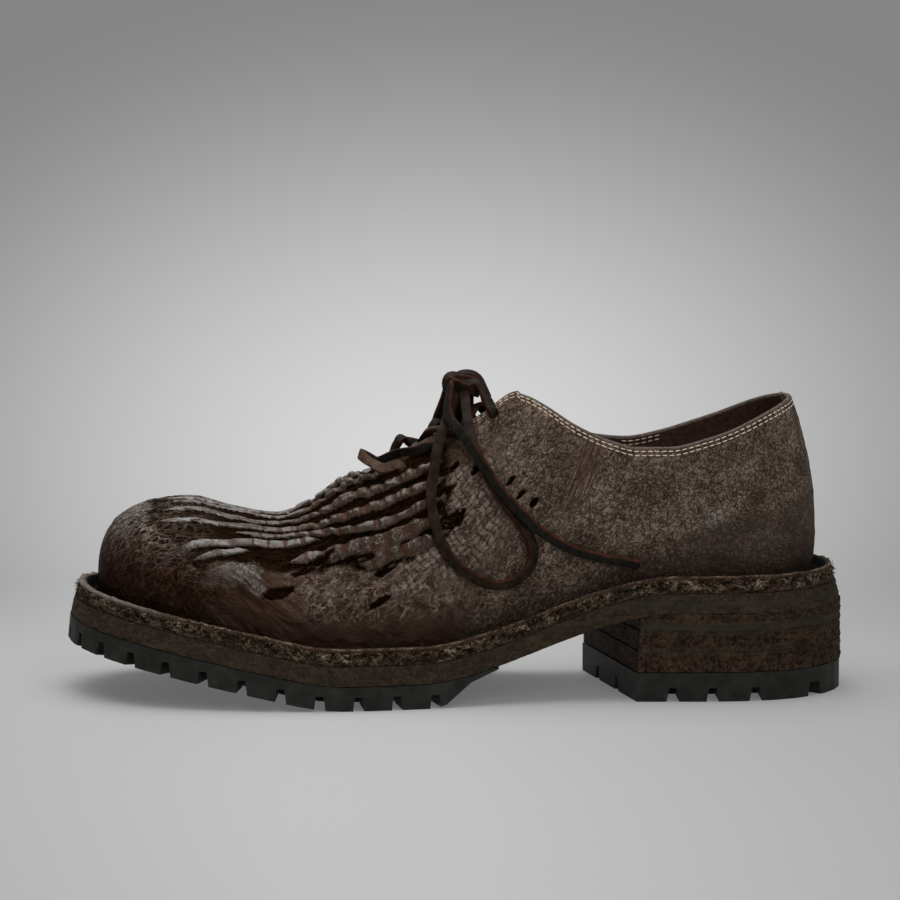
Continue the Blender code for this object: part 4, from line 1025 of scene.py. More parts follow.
def pads(along, down, signed, which):
    """Pads that a strip breaks into, 1 on a pad and 0 in a break, and a level for each pad."""
    beat = (along + BREAK_LEAN * down + 2.4 * hills(along / 8.0, which, 44)) / BREAK_PITCH + 0.37 * which
    gap = np.abs(beat - np.round(beat)) * BREAK_PITCH
    pillow = step(0.1, 1.5, gap + 0.4 * hills(along / 2.0, signed / 2.0, 39))
    return pillow, hills(np.round(beat) * 1.37, which * 1.91, 45)


def torn_area(along, down, signed):
    """Where the hide is torn, from the toe to the lacing and down to a wandering border."""
    border = down - table(TORN_REACH, "limit", along) + 2.0 * hills(along / 5.0, signed / 5.0, 47)
    return step(*TORN_FOOT, border) * step(*TORN_TOE, along) * step(*TORN_QUARTER, along)


def knit_area(along, down):
    """Where the leather is pressed like a knit, beside the lacing."""
    back = step(*KNIT_BACK, along + KNIT_LEAN * (KNIT_LEVEL - down))
    return step(*KNIT_FRONT, along) * back * step(*KNIT_TOP, down) * step(*KNIT_FOOT, down)


def felt_area(along, down, above_feather):
    """Where the leather between the torn strips and the welt is felted."""
    level = step(*FELT_TOP, down) * step(*FELT_FRONT, along) * step(*FELT_BACK, along)
    return level * step(*FELT_FOOT, above_feather)


print("knit runs from", KNIT_FRONT.none, "to", KNIT_BACK.none, "mm along the shoe")

# %% [markdown]
# ## Adding the relief up
# Strips stand flat at the toe and swell into pads at the instep. Channels sink between them, pits sink
# further, and small hills make the rest uneven. The edges stay calm, so that the leather still meets the
# welt, the fold and the lace holes. Layers of a sculpt would add up in the same way, but only by eye.

# %% Adding the relief up
MEDIAL_SPREAD = 1.06
STRIP_RISE, STRIP_DOME, PAD_RISE, PAD_UNEVEN, BREAK_DEPTH = 0.1, 0.08, 1.15, 0.7, 0.35
DEEPER_BEHIND_TOE, DEEPER_AT_INSTEP = Fade(-118, -90), Fade(-70, -50)
PUFFED, BROKEN, NAPPED = Fade(-74, -46), Fade(-98, -68), Fade(-10, 12)
LINED_TOE, RED_TOE, RED_FOOT, LOW = Fade(-84, -108), Fade(-80, -104), Fade(42, 16), Fade(24, 4)
CALM_EDGE, CALM_FEATHER = Fade(4.2, 9.0), Fade(0.0, 3.0)
# A pale oval on the quarter is a painted sheen, standing in for a highlight.
PAINTED_SHEEN_PATCH = Rub(100.0, 89.0, 10.0, 5.5, -0.35)
SCRATCHED, SCRATCH_LEVEL = Rub(47.0, 58.0, 9.5, 28.0, 0.42), 62.0
SMOOTHED_BACK, SMOOTHED_FROM, SMOOTHED_LEVEL, SMOOTHED_LEAN = Fade(74, 90), 85, 92, 0.22


def relief(side, along, down, above_feather, below_edge):
    """Height of the worn surface over the smooth one, with the masks that its finish follows."""
    signed = down * -side
    down = down if side == LATERAL else down * MEDIAL_SPREAD
    zone = torn_area(along, down, signed)
    inside, dome, which = nearest_strip(side, along, down)
    pillow, level = pads(along, down, signed, which)
    on, puff, toe = step(-0.2, 0.2, inside), step(*PUFFED, along), step(*LINED_TOE, along)
    rough = hills(along / 1.3, signed / 0.9, 51) + 0.6 * hills(along / 3.5, signed / 1.6, 52)
    depth = 0.3 + 0.35 * step(*DEEPER_BEHIND_TOE, along) + 0.35 * step(*DEEPER_AT_INSTEP, along)
    block = dome * pillow * (PAD_RISE + PAD_UNEVEN * level)
    height = zone * on * (STRIP_RISE + STRIP_DOME * dome + puff * (block - BREAK_DEPTH * (1 - pillow)))
    height += zone * (1 - on) * (-(CHANNEL_DEPTH * depth) + 0.35 * rough)
    knit_zone = knit_area(along, down) * (1 - 0.75 * zone * on)
    knit, knit_tone = knitted(along, down, signed)
    height += knit_zone * (1 - zone * (1 - on)) * (0.36 * knit * (1 + 0.5 * knit_tone) - 0.2)
    pit_in, pit_depth = in_pits(along, down, signed)
    height -= pit_depth * step(-0.3, 0.5, pit_in) * (1 - 0.25 * rough)
    height += creased(along, down)
    felted = felt_area(along, down, above_feather)
    height += 0.45 * felted * (1 - zone) * hills(along / 3.4, signed / 2.4, 49)
    height += 0.28 * hills(along / 17.0, signed / 13.0, 57) + 0.14 * hills(along / 5.0, signed / 4.0, 58)
    height += 0.10 * hills(along / 2.2, signed / 2.0, 48) * (1 - zone * on)
    height += 0.16 * toe * hills(along / 4.0, signed / 2.6, 37) * (1 - zone * on)
    calm = step(*CALM_EDGE, below_edge) * step(*CALM_FEATHER, above_feather)
    leaning = along - SCRATCHED.along + SCRATCHED.lean * (down - SCRATCH_LEVEL)
    scratched = np.hypot(leaning / SCRATCHED.half_length, (down - SCRATCHED.down) / SCRATCHED.half_width)
    # Below a crease at the heel the nap is smoother, and its darker grey is painted shade below the crease.
    smoothed = step(0, 6, down - SMOOTHED_LEVEL + SMOOTHED_LEAN * (along - SMOOTHED_FROM))
    masks = dict(
        puff=puff, pit_in=pit_in, toe=toe, felted=felted,
        knit=knit, knit_tone=knit_tone, knit_zone=knit_zone,
        strip_in=np.clip(inside, -3, 3),
        torn_zone=zone * calm,
        pad=1 - step(*BROKEN, along) * (1 - pillow),
        pad_tone=0.5 + 0.5 * level,
        rub_in=in_rubs(along, down),
        worn_pale=step(1.0, 0.2, oval(PAINTED_SHEEN_PATCH, PAINTED_SHEEN_PATCH.lean, along, down)),
        smoothed=smoothed * step(*SMOOTHED_BACK, along),
        nap=step(*NAPPED, along),
        red_toe=step(*RED_TOE, along) * step(*RED_FOOT, above_feather),
        low=step(*LOW, above_feather),
        streaked=step(1.0, 0.1, scratched),
        flat=np.stack([along, signed, np.zeros_like(along)], axis=-1),
    )
    return height * calm, masks


print("deepest channel:", CHANNEL_DEPTH, "mm, highest pad:", round(PAD_RISE + PAD_UNEVEN, 2), "mm")

# %% [markdown]
# ## Unrolling the upper
# A fine grid covers each side from its top edge to the feather edge. Every point also gets its place on the
# flat hide: how far along the shoe and how far down from the ridge. Patterns drawn there don't stretch
# over the toe as they would if they were projected from one side.

# %% Unrolling both sides
UPPER_COUNTS = dict(toe=84, vamp=132, throat=92, collar=96, heel=60)
UPPER_ROWS = 205
HEEL_REACH = 34.0
Sheet = namedtuple("Sheet", "side line places normals tops along down total")


def unrolled(side):
    """A fine grid over one side of the upper, with each point's way out and place on the flat hide."""
    line = stations(side, **UPPER_COUNTS)
    places, along, down, tops, totals = [], [], [], [], []
    for station in line:
        points, run, top = half_section(station)
        marks = np.linspace(top, run[-1], UPPER_ROWS)
        places.append(at(marks, run, points))
        if station.foot[0] < TOE_SPINE[0]:
            along.append(points[0, 0] - marks * math.cos(station.turn))
            down.append(marks * math.sin(station.turn))
        else:
            behind = (QUARTER - station.turn) * HEEL_REACH
            along.append(np.full(UPPER_ROWS, min(station.foot[0], HEEL_SPINE[0]) + behind))
            down.append(marks)
        tops.append(top)
        totals.append(run[-1])
    places = np.array(places)
    outward = np.cross(np.gradient(places, axis=1), np.gradient(places, axis=0)) * -side
    size = np.linalg.norm(outward, axis=2, keepdims=True)
    normals = np.where(size > 1e-9, outward / np.maximum(size, 1e-9), (0.0, 0.0, 1.0))
    return Sheet(side, line, places, normals, *map(np.array, (tops, along, down, totals)))


SHEETS = [unrolled(side) for side in SIDES]
print("each side has", len(SHEETS[0].line), "sections of", UPPER_ROWS, "points")

# %% [markdown]
# ## Joining points and punching holes
# At the toe many rows of the grid end in one place, and such points are joined there. A lace hole is opened
# by dropping the faces inside it and drawing its rim into a circle. A boolean cut would do it too, but
# leaves thin triangles that shade badly.

# %% Joining grid points and opening the lace holes
JOINED_WITHIN = 0.004


def weld(points, faces):
    """Joins points that coincide. Gives which joined point each one became, and the faces between them."""
    keys = np.round(points / JOINED_WITHIN).astype(np.int64)
    _, index = np.unique(keys, axis=0, return_inverse=True)
    index = index.ravel()
    kept = []
    for face in index[np.asarray(faces)].tolist():
        corners = list(dict.fromkeys(face))
        if len(corners) > 2:
            kept.append(corners)
    return index, kept


def averaged(values, index):
    """One value for each joined point."""
    values = np.asarray(values, float)
    flat = values.reshape(len(index), -1)
    count = np.bincount(index)
    sums = np.column_stack([np.bincount(index, weights=flat[:, i]) for i in range(flat.shape[1])])
    return (sums / count[:, None]).reshape((len(count),) + values.shape[1:])


def punched(points, faces, side, depth=0.0):
    """Opens the lace holes of one side: drops the faces inside each and draws its rim into a circle."""
    middles = np.array([points[face].mean(axis=0) for face in faces])
    inside = np.zeros(len(faces), bool)
    for hole, outward in EYELETS[side]:
        centre = hole - outward * depth
        far = np.linalg.norm(middles - centre, axis=1)
        near = np.where(far < 3 * EYELET_RADIUS)[0]
        inner = {i for f in near if far[f] < EYELET_RADIUS for i in faces[f]}
        outer = {i for f in near if far[f] >= EYELET_RADIUS for i in faces[f]}
        for i in inner & outer:
            points[i] = centre + unit(points[i] - centre) * EYELET_RADIUS
        inside |= far < EYELET_RADIUS
    return points, [face for face, drop in zip(faces, inside) if not drop]


print("lace holes on each side:", [len(EYELETS[side]) for side in SIDES])

# %% [markdown]
# ## Finish of the upper
# One leather carries every state of wear. Polished strips get a smooth coat of wax that catches the
# soft box, torn channels stay matt and dark, the quarter has a grey fibrous nap over brown, and the
# toe is crackled like dried paint. The masks hold distances in millimetres, so a little noise added
# to a distance makes a torn edge as ragged and sharp as the picture needs, finer than the mesh.

# %% Patterns of the hide
Patterns = namedtuple(
    "Patterns", "cloud blot patch grain curl long_curl groove arc streak swirl scratch wrinkle")


def curls(node, place, size, width, layer):
    """Thin curly lines like loose fibres, 1 on a line and 0 off it: the level lines of a cloud."""
    moved = node("shift", place, (0.0, 0.0, layer))
    off = node("minus", node("noise", moved, 1 / size, 1.0, 0.5, 0.8), 0.5)
    return node("range", node("size", off), width, 0.0)


def leather_patterns(node):
    """Every pattern of the hide, with its size in millimetres on the flat hide. Real fibres are far finer
    than these curls, which are drawn as coarse as they need to be to show."""
    flat = node("flat")
    sway = node("scale", node("clouds", flat, 1 / 4.5, 0.0), (3.0, 3.4, 0.0))
    netted = node("stretch", node("shift", flat, sway), (0.34, 1.0, 0.0))
    lean = node("turn", flat, (0.0, 0.0, math.radians(62)))
    fold = node("turn", flat, (0.0, 0.0, math.radians(-38)))
    curl = node("most", curls(node, flat, 3.4, 0.03, 7.0), curls(node, flat, 2.3, 0.04, 19.0))
    return Patterns(
        cloud=node("noise", flat, 1 / 16.0, 4.0, 0.55),
        blot=node("noise", flat, 1 / 6.0, 5.0, 0.62),
        patch=node("noise", flat, 1 / 3.1, 4.0, 0.6, 0.8),
        grain=node("noise", flat, 1 / 1.5, 3.0, 0.6),
        curl=node("most", curl, curls(node, flat, 2.8, 0.035, 57.0)),
        long_curl=node("most", curls(node, flat, 4.6, 0.04, 31.0), curls(node, flat, 3.2, 0.045, 43.0)),
        groove=node("most", curls(node, flat, 2.9, 0.045, 101.0), curls(node, flat, 2.1, 0.05, 113.0)),
        arc=node("range", node("cells", netted, 1 / 2.0), 0.12, 0.07),
        streak=node("noise", node("stretch", flat, (0.16, 1.0, 1.0)), 1 / 1.6, 3.0, 0.55),
        swirl=node("most", curls(node, flat, 5.2, 0.05, 131.0), curls(node, flat, 3.8, 0.05, 149.0)),
        scratch=node("noise", node("stretch", lean, (1 / 13.0, 1 / 0.7, 1.0)), 1.0, 3.0, 0.55),
        wrinkle=node("noise", node("stretch", fold, (1 / 13.0, 1 / 5.0, 1.0)), 1.0, 1.2, 0.4, 0.9),
    )


print("patterns of the hide:", len(Patterns._fields))

# %% [markdown]
# ## States of wear
# The mesh carries a distance to each strip, pit and rubbed patch. Noise is added to that distance before
# it is cut into inside and outside, so that an edge is torn more finely than the mesh could show.
# Painting the states by hand would need an image, and would blur when the camera comes near.

# %% States of wear
MASKS = (
    "nap", "toe", "red_toe", "felted", "knit", "knit_zone", "knit_tone", "low", "streaked", "pad",
    "pad_tone", "puff", "strip_in", "torn_zone", "pit_in", "rub_in", "worn_pale", "smoothed",
)
Masks = namedtuple("Masks", MASKS)
States = namedtuple("States", "ragged zone pit torn strip polish toe_line")


def leather_states(node, p, m):
    """Where the hide is torn, stands as a strip, is polished, or is lined at the toe."""
    coarse, fine = node("range", p.patch, 0.0, 1.0, -1.0, 1.0), node("range", p.grain, 0.0, 1.0, -0.6, 0.6)
    ragged = node("plus", coarse, fine)
    on, zone, pit, rub, greyed = (
        node("range", node("plus", mask, node("times", ragged, wander)), low, high)
        for mask, wander, low, high in (
            (m.strip_in, 0.25, -0.1, 0.1),
            (m.torn_zone, 0.6, 0.3, 0.7),
            (m.pit_in, 0.4, -0.25, 0.25),
            (m.rub_in, 0.7, -0.2, 0.6),
            (m.pad, 0.6, 0.25, 0.6),
        )
    )
    torn = node("most", node("times", zone, node("minus", 1.0, on)), pit)
    strip = node("times", node("times", on, zone), node("minus", 1.0, pit))
    waxed = node("times", node("times", strip, greyed), node("range", p.blot, 0.36, 0.54, 0.2, 1.0))
    faceted = node("minus", 1.0, node("times", p.swirl, 0.7))
    rubbed_and_lit = node("times", node("range", p.blot, 0.34, 0.52, 0.2, 0.7), faceted)
    rubbed_and_lit = node("times", node("times", rub, node("minus", 1.0, torn)), rubbed_and_lit)
    toe_line = node("times", node("most", p.arc, node("times", p.long_curl, 0.6)), m.toe)
    toe_line = node("times", toe_line, node("range", p.blot, 0.32, 0.54))
    toe_line = node("times", toe_line, node("minus", 1.0, node("times", m.red_toe, 0.85)))
    return States(ragged, zone, pit, torn, strip, node("most", waxed, rubbed_and_lit), toe_line)


print("states of wear:", States._fields)

# %% [markdown]
# ## Colours of the hide
# The toe and vamp are dark, redder low on the toe, and lined where the finish has cracked. The quarter is
# a lighter nap of curly fibres, and between them the leather is pressed into small squares like a knit.
# Each state has its own short function, so that one colour can be changed without touching the others.

# %% Colours of the toe, the nap and the knit


def vamp_colour(node, p, m, toe_line):
    """Bare leather of the toe and vamp: dark and red, cracked at the toe and felted behind it."""
    tone = node("mix", node("range", p.cloud, 0.35, 0.65), colour("#2e1b11"), colour("#4a3121"))
    front = node("most", m.red_toe, node("times", m.toe, 0.8))
    lines = node("times", node("times", p.long_curl, m.felted), node("range", p.blot, 0.36, 0.56))
    for mask, code in (
        (node("times", m.toe, 0.8), "#2b1a10"),
        (node("times", m.red_toe, 0.9), "#3a2116"),
        (node("times", front, node("times", p.swirl, 0.9)), "#0d0603"),
        (toe_line, "#857364"),
        (node("times", m.felted, node("range", p.patch, 0.46, 0.62, 0.0, 0.6)), "#7c6e62"),
        (lines, "#9c8d80"),
    ):
        tone = node("mix", mask, tone, colour(code))
    return tone


def nap_colour(node, p, m):
    """Brown nap of the quarter with pale and dark curls, a painted sheen on one patch, and smoother below a
    crease, where a darker grey is painted shade.
    """
    tone = node("mix", node("range", p.blot, 0.32, 0.66), colour("#56402f"), colour("#8d7867"))
    for mask, code in (
        (node("range", p.cloud, 0.58, 0.40, 0.0, 0.55), "#38251a"),
        # painted sheen: a pale patch standing in for a highlight on the quarter
        (node("times", m.worn_pale, 0.55), "#b3a599"),
        (node("times", p.curl, node("range", p.cloud, 0.40, 0.60, 0.35, 0.75)), "#a89a8d"),
        (node("times", p.groove, 0.8), "#1e130d"),
        (node("range", p.grain, 0.42, 0.32, 0.0, 0.7), "#1c120c"),
        # smoothed: fewer curls, and a darker grey that is painted shade below the crease
        (node("times", m.smoothed, 0.6), "#4a3d34"),
    ):
        tone = node("mix", mask, tone, colour(code))
    scratched = node("mix", node("range", p.scratch, 0.50, 0.68), colour("#4d3729"), colour("#a38e7d"))
    return node("mix", node("times", m.streaked, 0.85), tone, scratched)


def knit_over(node, p, m, ragged, under):
    """Pale squares with dark grooves, laid over another colour where the leather is knitted."""
    top = node("range", node("plus", m.knit, node("times", ragged, 0.3)), 0.2, 0.8)
    top = node("times", m.knit_zone, top)
    light = node("range", m.knit_tone, -0.6, 0.6, 0.0, 0.6)
    light = node("plus", node("times", p.long_curl, 0.8), light)
    tone = node("mix", light, colour("#4d382b"), colour("#a5958a"))
    grooved = node("mix", node("times", m.knit_zone, node("minus", 1.0, top)), under, colour("#46342a"))
    return node("mix", top, grooved, tone)


print("masks that the colours follow:", len(MASKS))

# %% [markdown]
# ## Wax and raw leather
# Wax lies on the strips and pads and catches the soft box, while a torn channel shows raw fibre, nearly
# black. Both are mixed from streaks that run along the strips. One flat colour would do from far away,
# but the streaks show which way the hide was pleated.

# %% Colours of wax and raw leather


def wax_colour(node, p, m, strip):
    """Grey wax over brown leather, streaked along the strips and missing from some pads."""
    tone = node("mix", m.puff, colour("#4b3c31"), colour("#584739"))
    streaks = node("times", strip, node("range", p.streak, 0.58, 0.38, 0.0, 0.8))
    tone = node("mix", streaks, tone, colour("#281b13"))
    brown_pad = node("times", m.puff, node("range", m.pad_tone, 0.64, 0.42, 0.0, 0.9))
    return node("mix", brown_pad, tone, colour("#3e291d"))


def raw_colour(node, p, m):
    """Torn fibre, nearly black, with streaks along the channels behind the toe."""
    behind_toe = node("minus", 1.0, node("times", m.toe, 0.8))
    streaks = node("times", node("range", p.streak, 0.45, 0.70), behind_toe)
    tone = node("mix", streaks, colour("#0c0603"), colour("#2c1a10"))
    return node("mix", node("times", p.curl, 0.2), tone, colour("#4c3424"))


print("red of the darkest fibre, linear:", round(colour("#0c0603")[0], 4))

# %% [markdown]
# ## Fine relief of the hide
# Wrinkles, cracks and pores are too fine for the mesh, so a bump carries them. It only tilts the light and
# leaves the outline smooth, which is right for anything less than half a millimetre high.

# %% Heights for the bump
BUMP_HEIGHT = 0.0006


def leather_heights(node, p, m, s):
    """Pores, cracks, lines and wrinkles, as a height for the bump."""
    heights = node("times", p.grain, node("range", s.polish, 0.0, 1.0, 0.7, 0.02))
    cracked = node("times", m.toe, node("minus", 1.0, s.polish))
    lined = node("times", m.toe, node("minus", 1.0, s.strip))
    folded = node("times", node("minus", 1.0, m.nap), node("minus", 1.0, s.zone))
    for pattern, where, strength in (
        (p.groove, m.nap, -0.6),
        (p.swirl, cracked, -0.9),
        (p.long_curl, m.felted, 0.5),
        (p.arc, lined, 0.7),
        (p.wrinkle, folded, 2.8),
        (1.0, s.strip, 0.4),
        (p.streak, s.strip, 0.3),
        (1.0, s.pit, -0.8),
    ):
        heights = node("plus", heights, node("times", pattern, node("times", where, strength)))
    return heights


print("a height of 1 in the bump is", BUMP_HEIGHT / MM, "mm")

# %% [markdown]
# ## One leather from all of them
# All of it meets in one shader: the colour, how rough the surface is, how strongly it shines and which way
# it faces. A material for each state would need hard borders, and worn leather has none.

# %% Waxed and torn leather


def upper_leather():
    """Dark hide: waxed grey on its strips, raw and dark in its channels, and covered with curly nap."""
    material, node, finish = material_named("waxed and torn leather")
    p = leather_patterns(node)
    m = Masks(*(node("mask", attribute_name=name) for name in MASKS))
    s = leather_states(node, p, m)
    tone = node("mix", m.nap, vamp_colour(node, p, m, s.toe_line), nap_colour(node, p, m))
    tone = knit_over(node, p, m, s.ragged, tone)
    tone = node("mix", node("times", m.low, 0.7), tone, colour("#2f2017"))
    between_pads = node("mix", node("range", p.grain, 0.3, 0.7), colour("#412b1f"), colour("#614536"))
    tone = node("mix", s.strip, tone, between_pads)
    tone = node("mix", s.polish, tone, wax_colour(node, p, m, s.strip))
    torn = node("times", s.torn, node("minus", 1.0, node("times", m.toe, 0.45)))
    tone = node("mix", torn, tone, raw_colour(node, p, m))
    rough = node("range", node("most", s.polish, s.toe_line), 0.0, 1.0, 0.42, 0.24)
    rough = node("plus", rough, node("times", node("most", s.torn, m.nap), 0.3))
    shine = node("plus", 0.12, node("times", s.polish, node("range", m.puff, 0.0, 1.0, 0.88, 0.50)))
    shine = node("plus", shine, node("times", s.toe_line, 0.5))
    shine = node("times", shine, node("minus", 1.0, node("times", m.red_toe, 0.92)))
    shine = node("times", shine, node("minus", 1.0, node("times", s.torn, 0.95)))
    relief_in = node("bump", leather_heights(node, p, m, s), BUMP_HEIGHT, 1.0)
    finish({"Base Color": tone, "Roughness": rough, "Specular IOR Level": shine, "Normal": relief_in})
    return material


UPPER_LEATHER = upper_leather()
print("made", UPPER_LEATHER.name, "with", len(UPPER_LEATHER.node_tree.nodes), "nodes")

# %% [markdown]
# ## The outer surface
# The outer leather is one hide, drawn here as two pieces that meet on the ridge and at the heel. Every grid
# point is pushed out or in by its relief along the way out of the last, and carries its masks along.
# A displace modifier could push the points, but then the masks and the shape would come from two places.

# %% The worn outer surface, one piece for each side
for sheet, name in zip(SHEETS, ("upper_lateral_leather", "upper_medial_leather")):
    leather = np.linspace(0, 1, UPPER_ROWS)[None, :] * (sheet.total - sheet.tops)[:, None]
    below_edge = np.where(sheet.tops[:, None] > 0, leather, 99.0)
    above_feather = (sheet.total - sheet.tops)[:, None] - leather
    height, masks = relief(sheet.side, sheet.along, sheet.down, above_feather, below_edge)
    points = sheet.places.reshape(-1, 3)
    index, faces = weld(points, grid_faces(len(sheet.line), UPPER_ROWS))
    outward = unit(averaged(sheet.normals.reshape(-1, 3), index))
    worn = averaged(points, index) + outward * averaged(height.ravel(), index)[:, None]
    worn, faces = punched(worn, faces, sheet.side)
    for mask, values in masks.items():
        masks[mask] = averaged(values.reshape((len(points),) + values.shape[2:]), index)
    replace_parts(piece(name, worn, faces, UPPER_LEATHER, "upper_leather", **masks), "upper")

# %% [markdown]
# ## Lining and folded edge
# Inside the collar a red-brown lining meets the outer leather at a folded edge. A solidify modifier could
# thicken the outer surface, but would carry its tears inside. So the lining is the smooth surface moved
# in by the thickness of the leather, and the fold is a half round between the two.

# %% Lining and folded edge
FOLD_STEPS = 9
EVERY_SECTION, EVERY_ROW = 3, 4


def plain_leather(name, dark, light, grain_size, roughness, strength=0.4):
    """A plain leather whose colour and surface wander by a grain of the given size in millimetres."""
    material, node, finish = material_named(name)
    grain = node("noise", node("place"), 1 / (grain_size * MM), 6.0, 0.6)
    tone = node("mix", node("range", grain, 0.35, 0.65), colour(dark), colour(light))
    grained = node("bump", grain, grain_size * MM * 0.3, strength)
    finish({"Base Color": tone, "Normal": grained, "Roughness": roughness})
    return material


def gathered(parts):
    """Several sets of points and faces as one."""
    points, faces = zip(*parts)
    firsts = np.cumsum([0] + [len(some) for some in points])
    return np.vstack(points), np.vstack([some + first for some, first in zip(faces, firsts)])


LINING = plain_leather("calf lining", "#38221a", "#5e4232", 2.0, 0.6)
FOLD = plain_leather("folded edge leather", "#3a2a21", "#6b5a4e", 1.5, 0.65)
linings, folds = [], []
for sheet in SHEETS:
    rows = np.unique(np.r_[0:len(sheet.line):EVERY_SECTION, len(sheet.line) - 1])
    columns = np.unique(np.r_[0:UPPER_ROWS:EVERY_ROW, UPPER_ROWS - 1])
    inner = (sheet.places - sheet.normals * WALL)[np.ix_(rows, columns)]
    linings.append((inner.reshape(-1, 3), grid_faces(len(rows), len(columns))))
    cut = np.where(sheet.tops > 0)[0]
    top, outward = sheet.places[cut, 0], sheet.normals[cut, 0]
    upward = unit(sheet.places[cut, 0] - sheet.places[cut, 2])
    turns = np.linspace(0, math.pi, FOLD_STEPS)[None, :, None]
    fold = (top - outward * WALL / 2)[:, None] + WALL / 2 * (
        outward[:, None] * np.cos(turns) + upward[:, None] * np.sin(turns))
    folds.append((fold.reshape(-1, 3), grid_faces(len(cut), FOLD_STEPS)))
points, faces = gathered(linings)
index, faces = weld(points, faces)
inside = averaged(points, index)
for side in SIDES:
    inside, faces = punched(inside, faces, side, WALL)
piece("upper_lining", inside, faces, LINING, "lining_leather")
piece("upper_folded_edge", *gathered(folds), FOLD, "upper_leather")

# %% [markdown]
# ## Stitches
# Two rows of cream linen thread run along the collar, and a short pair holds the lining inside. Each stitch
# is a small rounded bar that lies on the leather, and all of them are joined in one mesh. A dashed line in
# the material would be cheaper, but it would have no thickness in a close view.

# %% Cream stitches along the collar and facings
STITCH_LENGTH, STITCH_PITCH, STITCH_WIDTH, STITCH_HEIGHT = 2.1, 2.7, 0.5, 0.45
STITCH_ROWS = 0.8, 2.4
STITCH_START, LINING_SEAM = 2.0, (67.0, 82.0)


def thread():
    """Waxed linen thread: cream and dull."""
    material, _, finish = material_named("cream linen thread")
    finish({"Base Color": colour("#f2dcc4"), "Roughness": 0.75})
    return material


def copies(one, count):
    """The faces of one small mesh again, for each of several copies that follow each other."""
    return (one[None] + (np.arange(count) * (one.max() + 1))[:, None, None]).reshape(-1, 4)


def stitches_along(path, outward):
    """Small rounded bars in a row along a path, as points and faces."""
    rings, sides = 5, 8
    run = run_along(path)
    marks = np.arange(STITCH_PITCH / 2, run[-1], STITCH_PITCH)
    middle, out = at(marks, run, path), unit(at(marks, run, outward))
    ahead = unit(at(marks + 0.5, run, path) - middle + 1e-6)
    flat = unit(np.cross(ahead, out))
    along = np.linspace(-1, 1, rings)
    thick = np.sqrt(np.clip(1.08 - along**2, 0.05, 1))
    turns = np.linspace(0, 2 * math.pi, sides, endpoint=False)
    bar = along[:, None] * STITCH_LENGTH / 2
    wide = thick[:, None] * np.cos(turns) * STITCH_WIDTH / 2
    high = thick[:, None] * np.sin(turns) * STITCH_HEIGHT / 2
    shape = np.stack(np.broadcast_arrays(bar, wide, high), axis=-1).reshape(-1, 3)
    axes = np.stack([ahead, flat, out], axis=1)
    points = (middle[:, None] + shape @ axes).reshape(-1, 3)
    return points, copies(grid_faces(rings, sides, wrap=True), len(marks))


stitches = []
for sheet in SHEETS:
    x = sheet.places[:, 0, 0]
    spacing = (sheet.total - sheet.tops) / (UPPER_ROWS - 1)
    for row in STITCH_ROWS:
        for depth, first_x, last_x in ((0.0, STITCH_START, 999.0), (WALL, *LINING_SEAM)):
            cut = np.where((sheet.tops > 0) & (x > first_x) & (x < last_x))[0]
            marks = np.clip(row / spacing[cut], 0, UPPER_ROWS - 2)
            low, part = marks.astype(int), (marks % 1)[:, None]
            surface = sheet.places - sheet.normals * depth
            path = surface[cut, low] * (1 - part) + surface[cut, low + 1] * part
            outward = sheet.normals[cut, low] * (1.0 if depth == 0 else -1.0)
            stitches.append(stitches_along(path, outward))
piece("collar_stitches", *gathered(stitches), thread(), "upper_leather")

# %% [markdown]
# ## Sole edges
# The welt is a strip of leather sewn round the shoe with its edge turned up. Its cut side has frayed into
# loose fibre, while the midsole and the stacked heel below it are sanded and waxed dark.
# Each layer is drawn again as a fine band on its own outline, and noise roughens its cut side.

# %% Layer outlines
Edge = namedtuple("Edge", "flat flared")
WELT_EDGE = Edge(-0.5, 0.0), Edge(0.0, 0.6)
MIDSOLE_EDGE = Edge(0.3, 0.8), Edge(0.4, 2.4)
Lift = namedtuple("Lift", "name base edge setback")
LIFTS = (
    Lift("heel_lift_bottom", 11.6, Edge(0.3, 2.8), 0.4),
    Lift("heel_lift_middle", 19.8, Edge(0.2, 2.8), 0.9),
    Lift("heel_lift_top", 27.8, Edge(0.2, 2.7), 1.4),
)
SOLE_STEP = 0.9


def edge_stations(side, start_x=None):
    """Stations at an even step along the feather edge, from the toe tip or from a place along the shoe."""
    points, normals = FEATHER[side]
    run = run_along(points)
    first = 0.0 if start_x is None else np.interp(start_x, points[:, 0], run)
    count = round((run[-1] - first) / SOLE_STEP)
    marks = np.linspace(first, run[-1], count)
    return at(marks, run, points), unit(at(marks, run, normals))


def edge_out(x, edge):
    """How far a layer's edge stands outside the feather edge."""
    return table(MARGINS, "margin", x) + edge.flat + edge.flared * table(MARGINS, "flare", x)


def standing_out(feet, outs, edge):
    """Points of a layer's edge, outside the feather edge."""
    return feet + outs * edge_out(feet[:, 0], edge)[:, None]


print("foot of the welt stands out", edge_out(TOE_X, WELT_EDGE[1]).round(1), "mm at the toe")
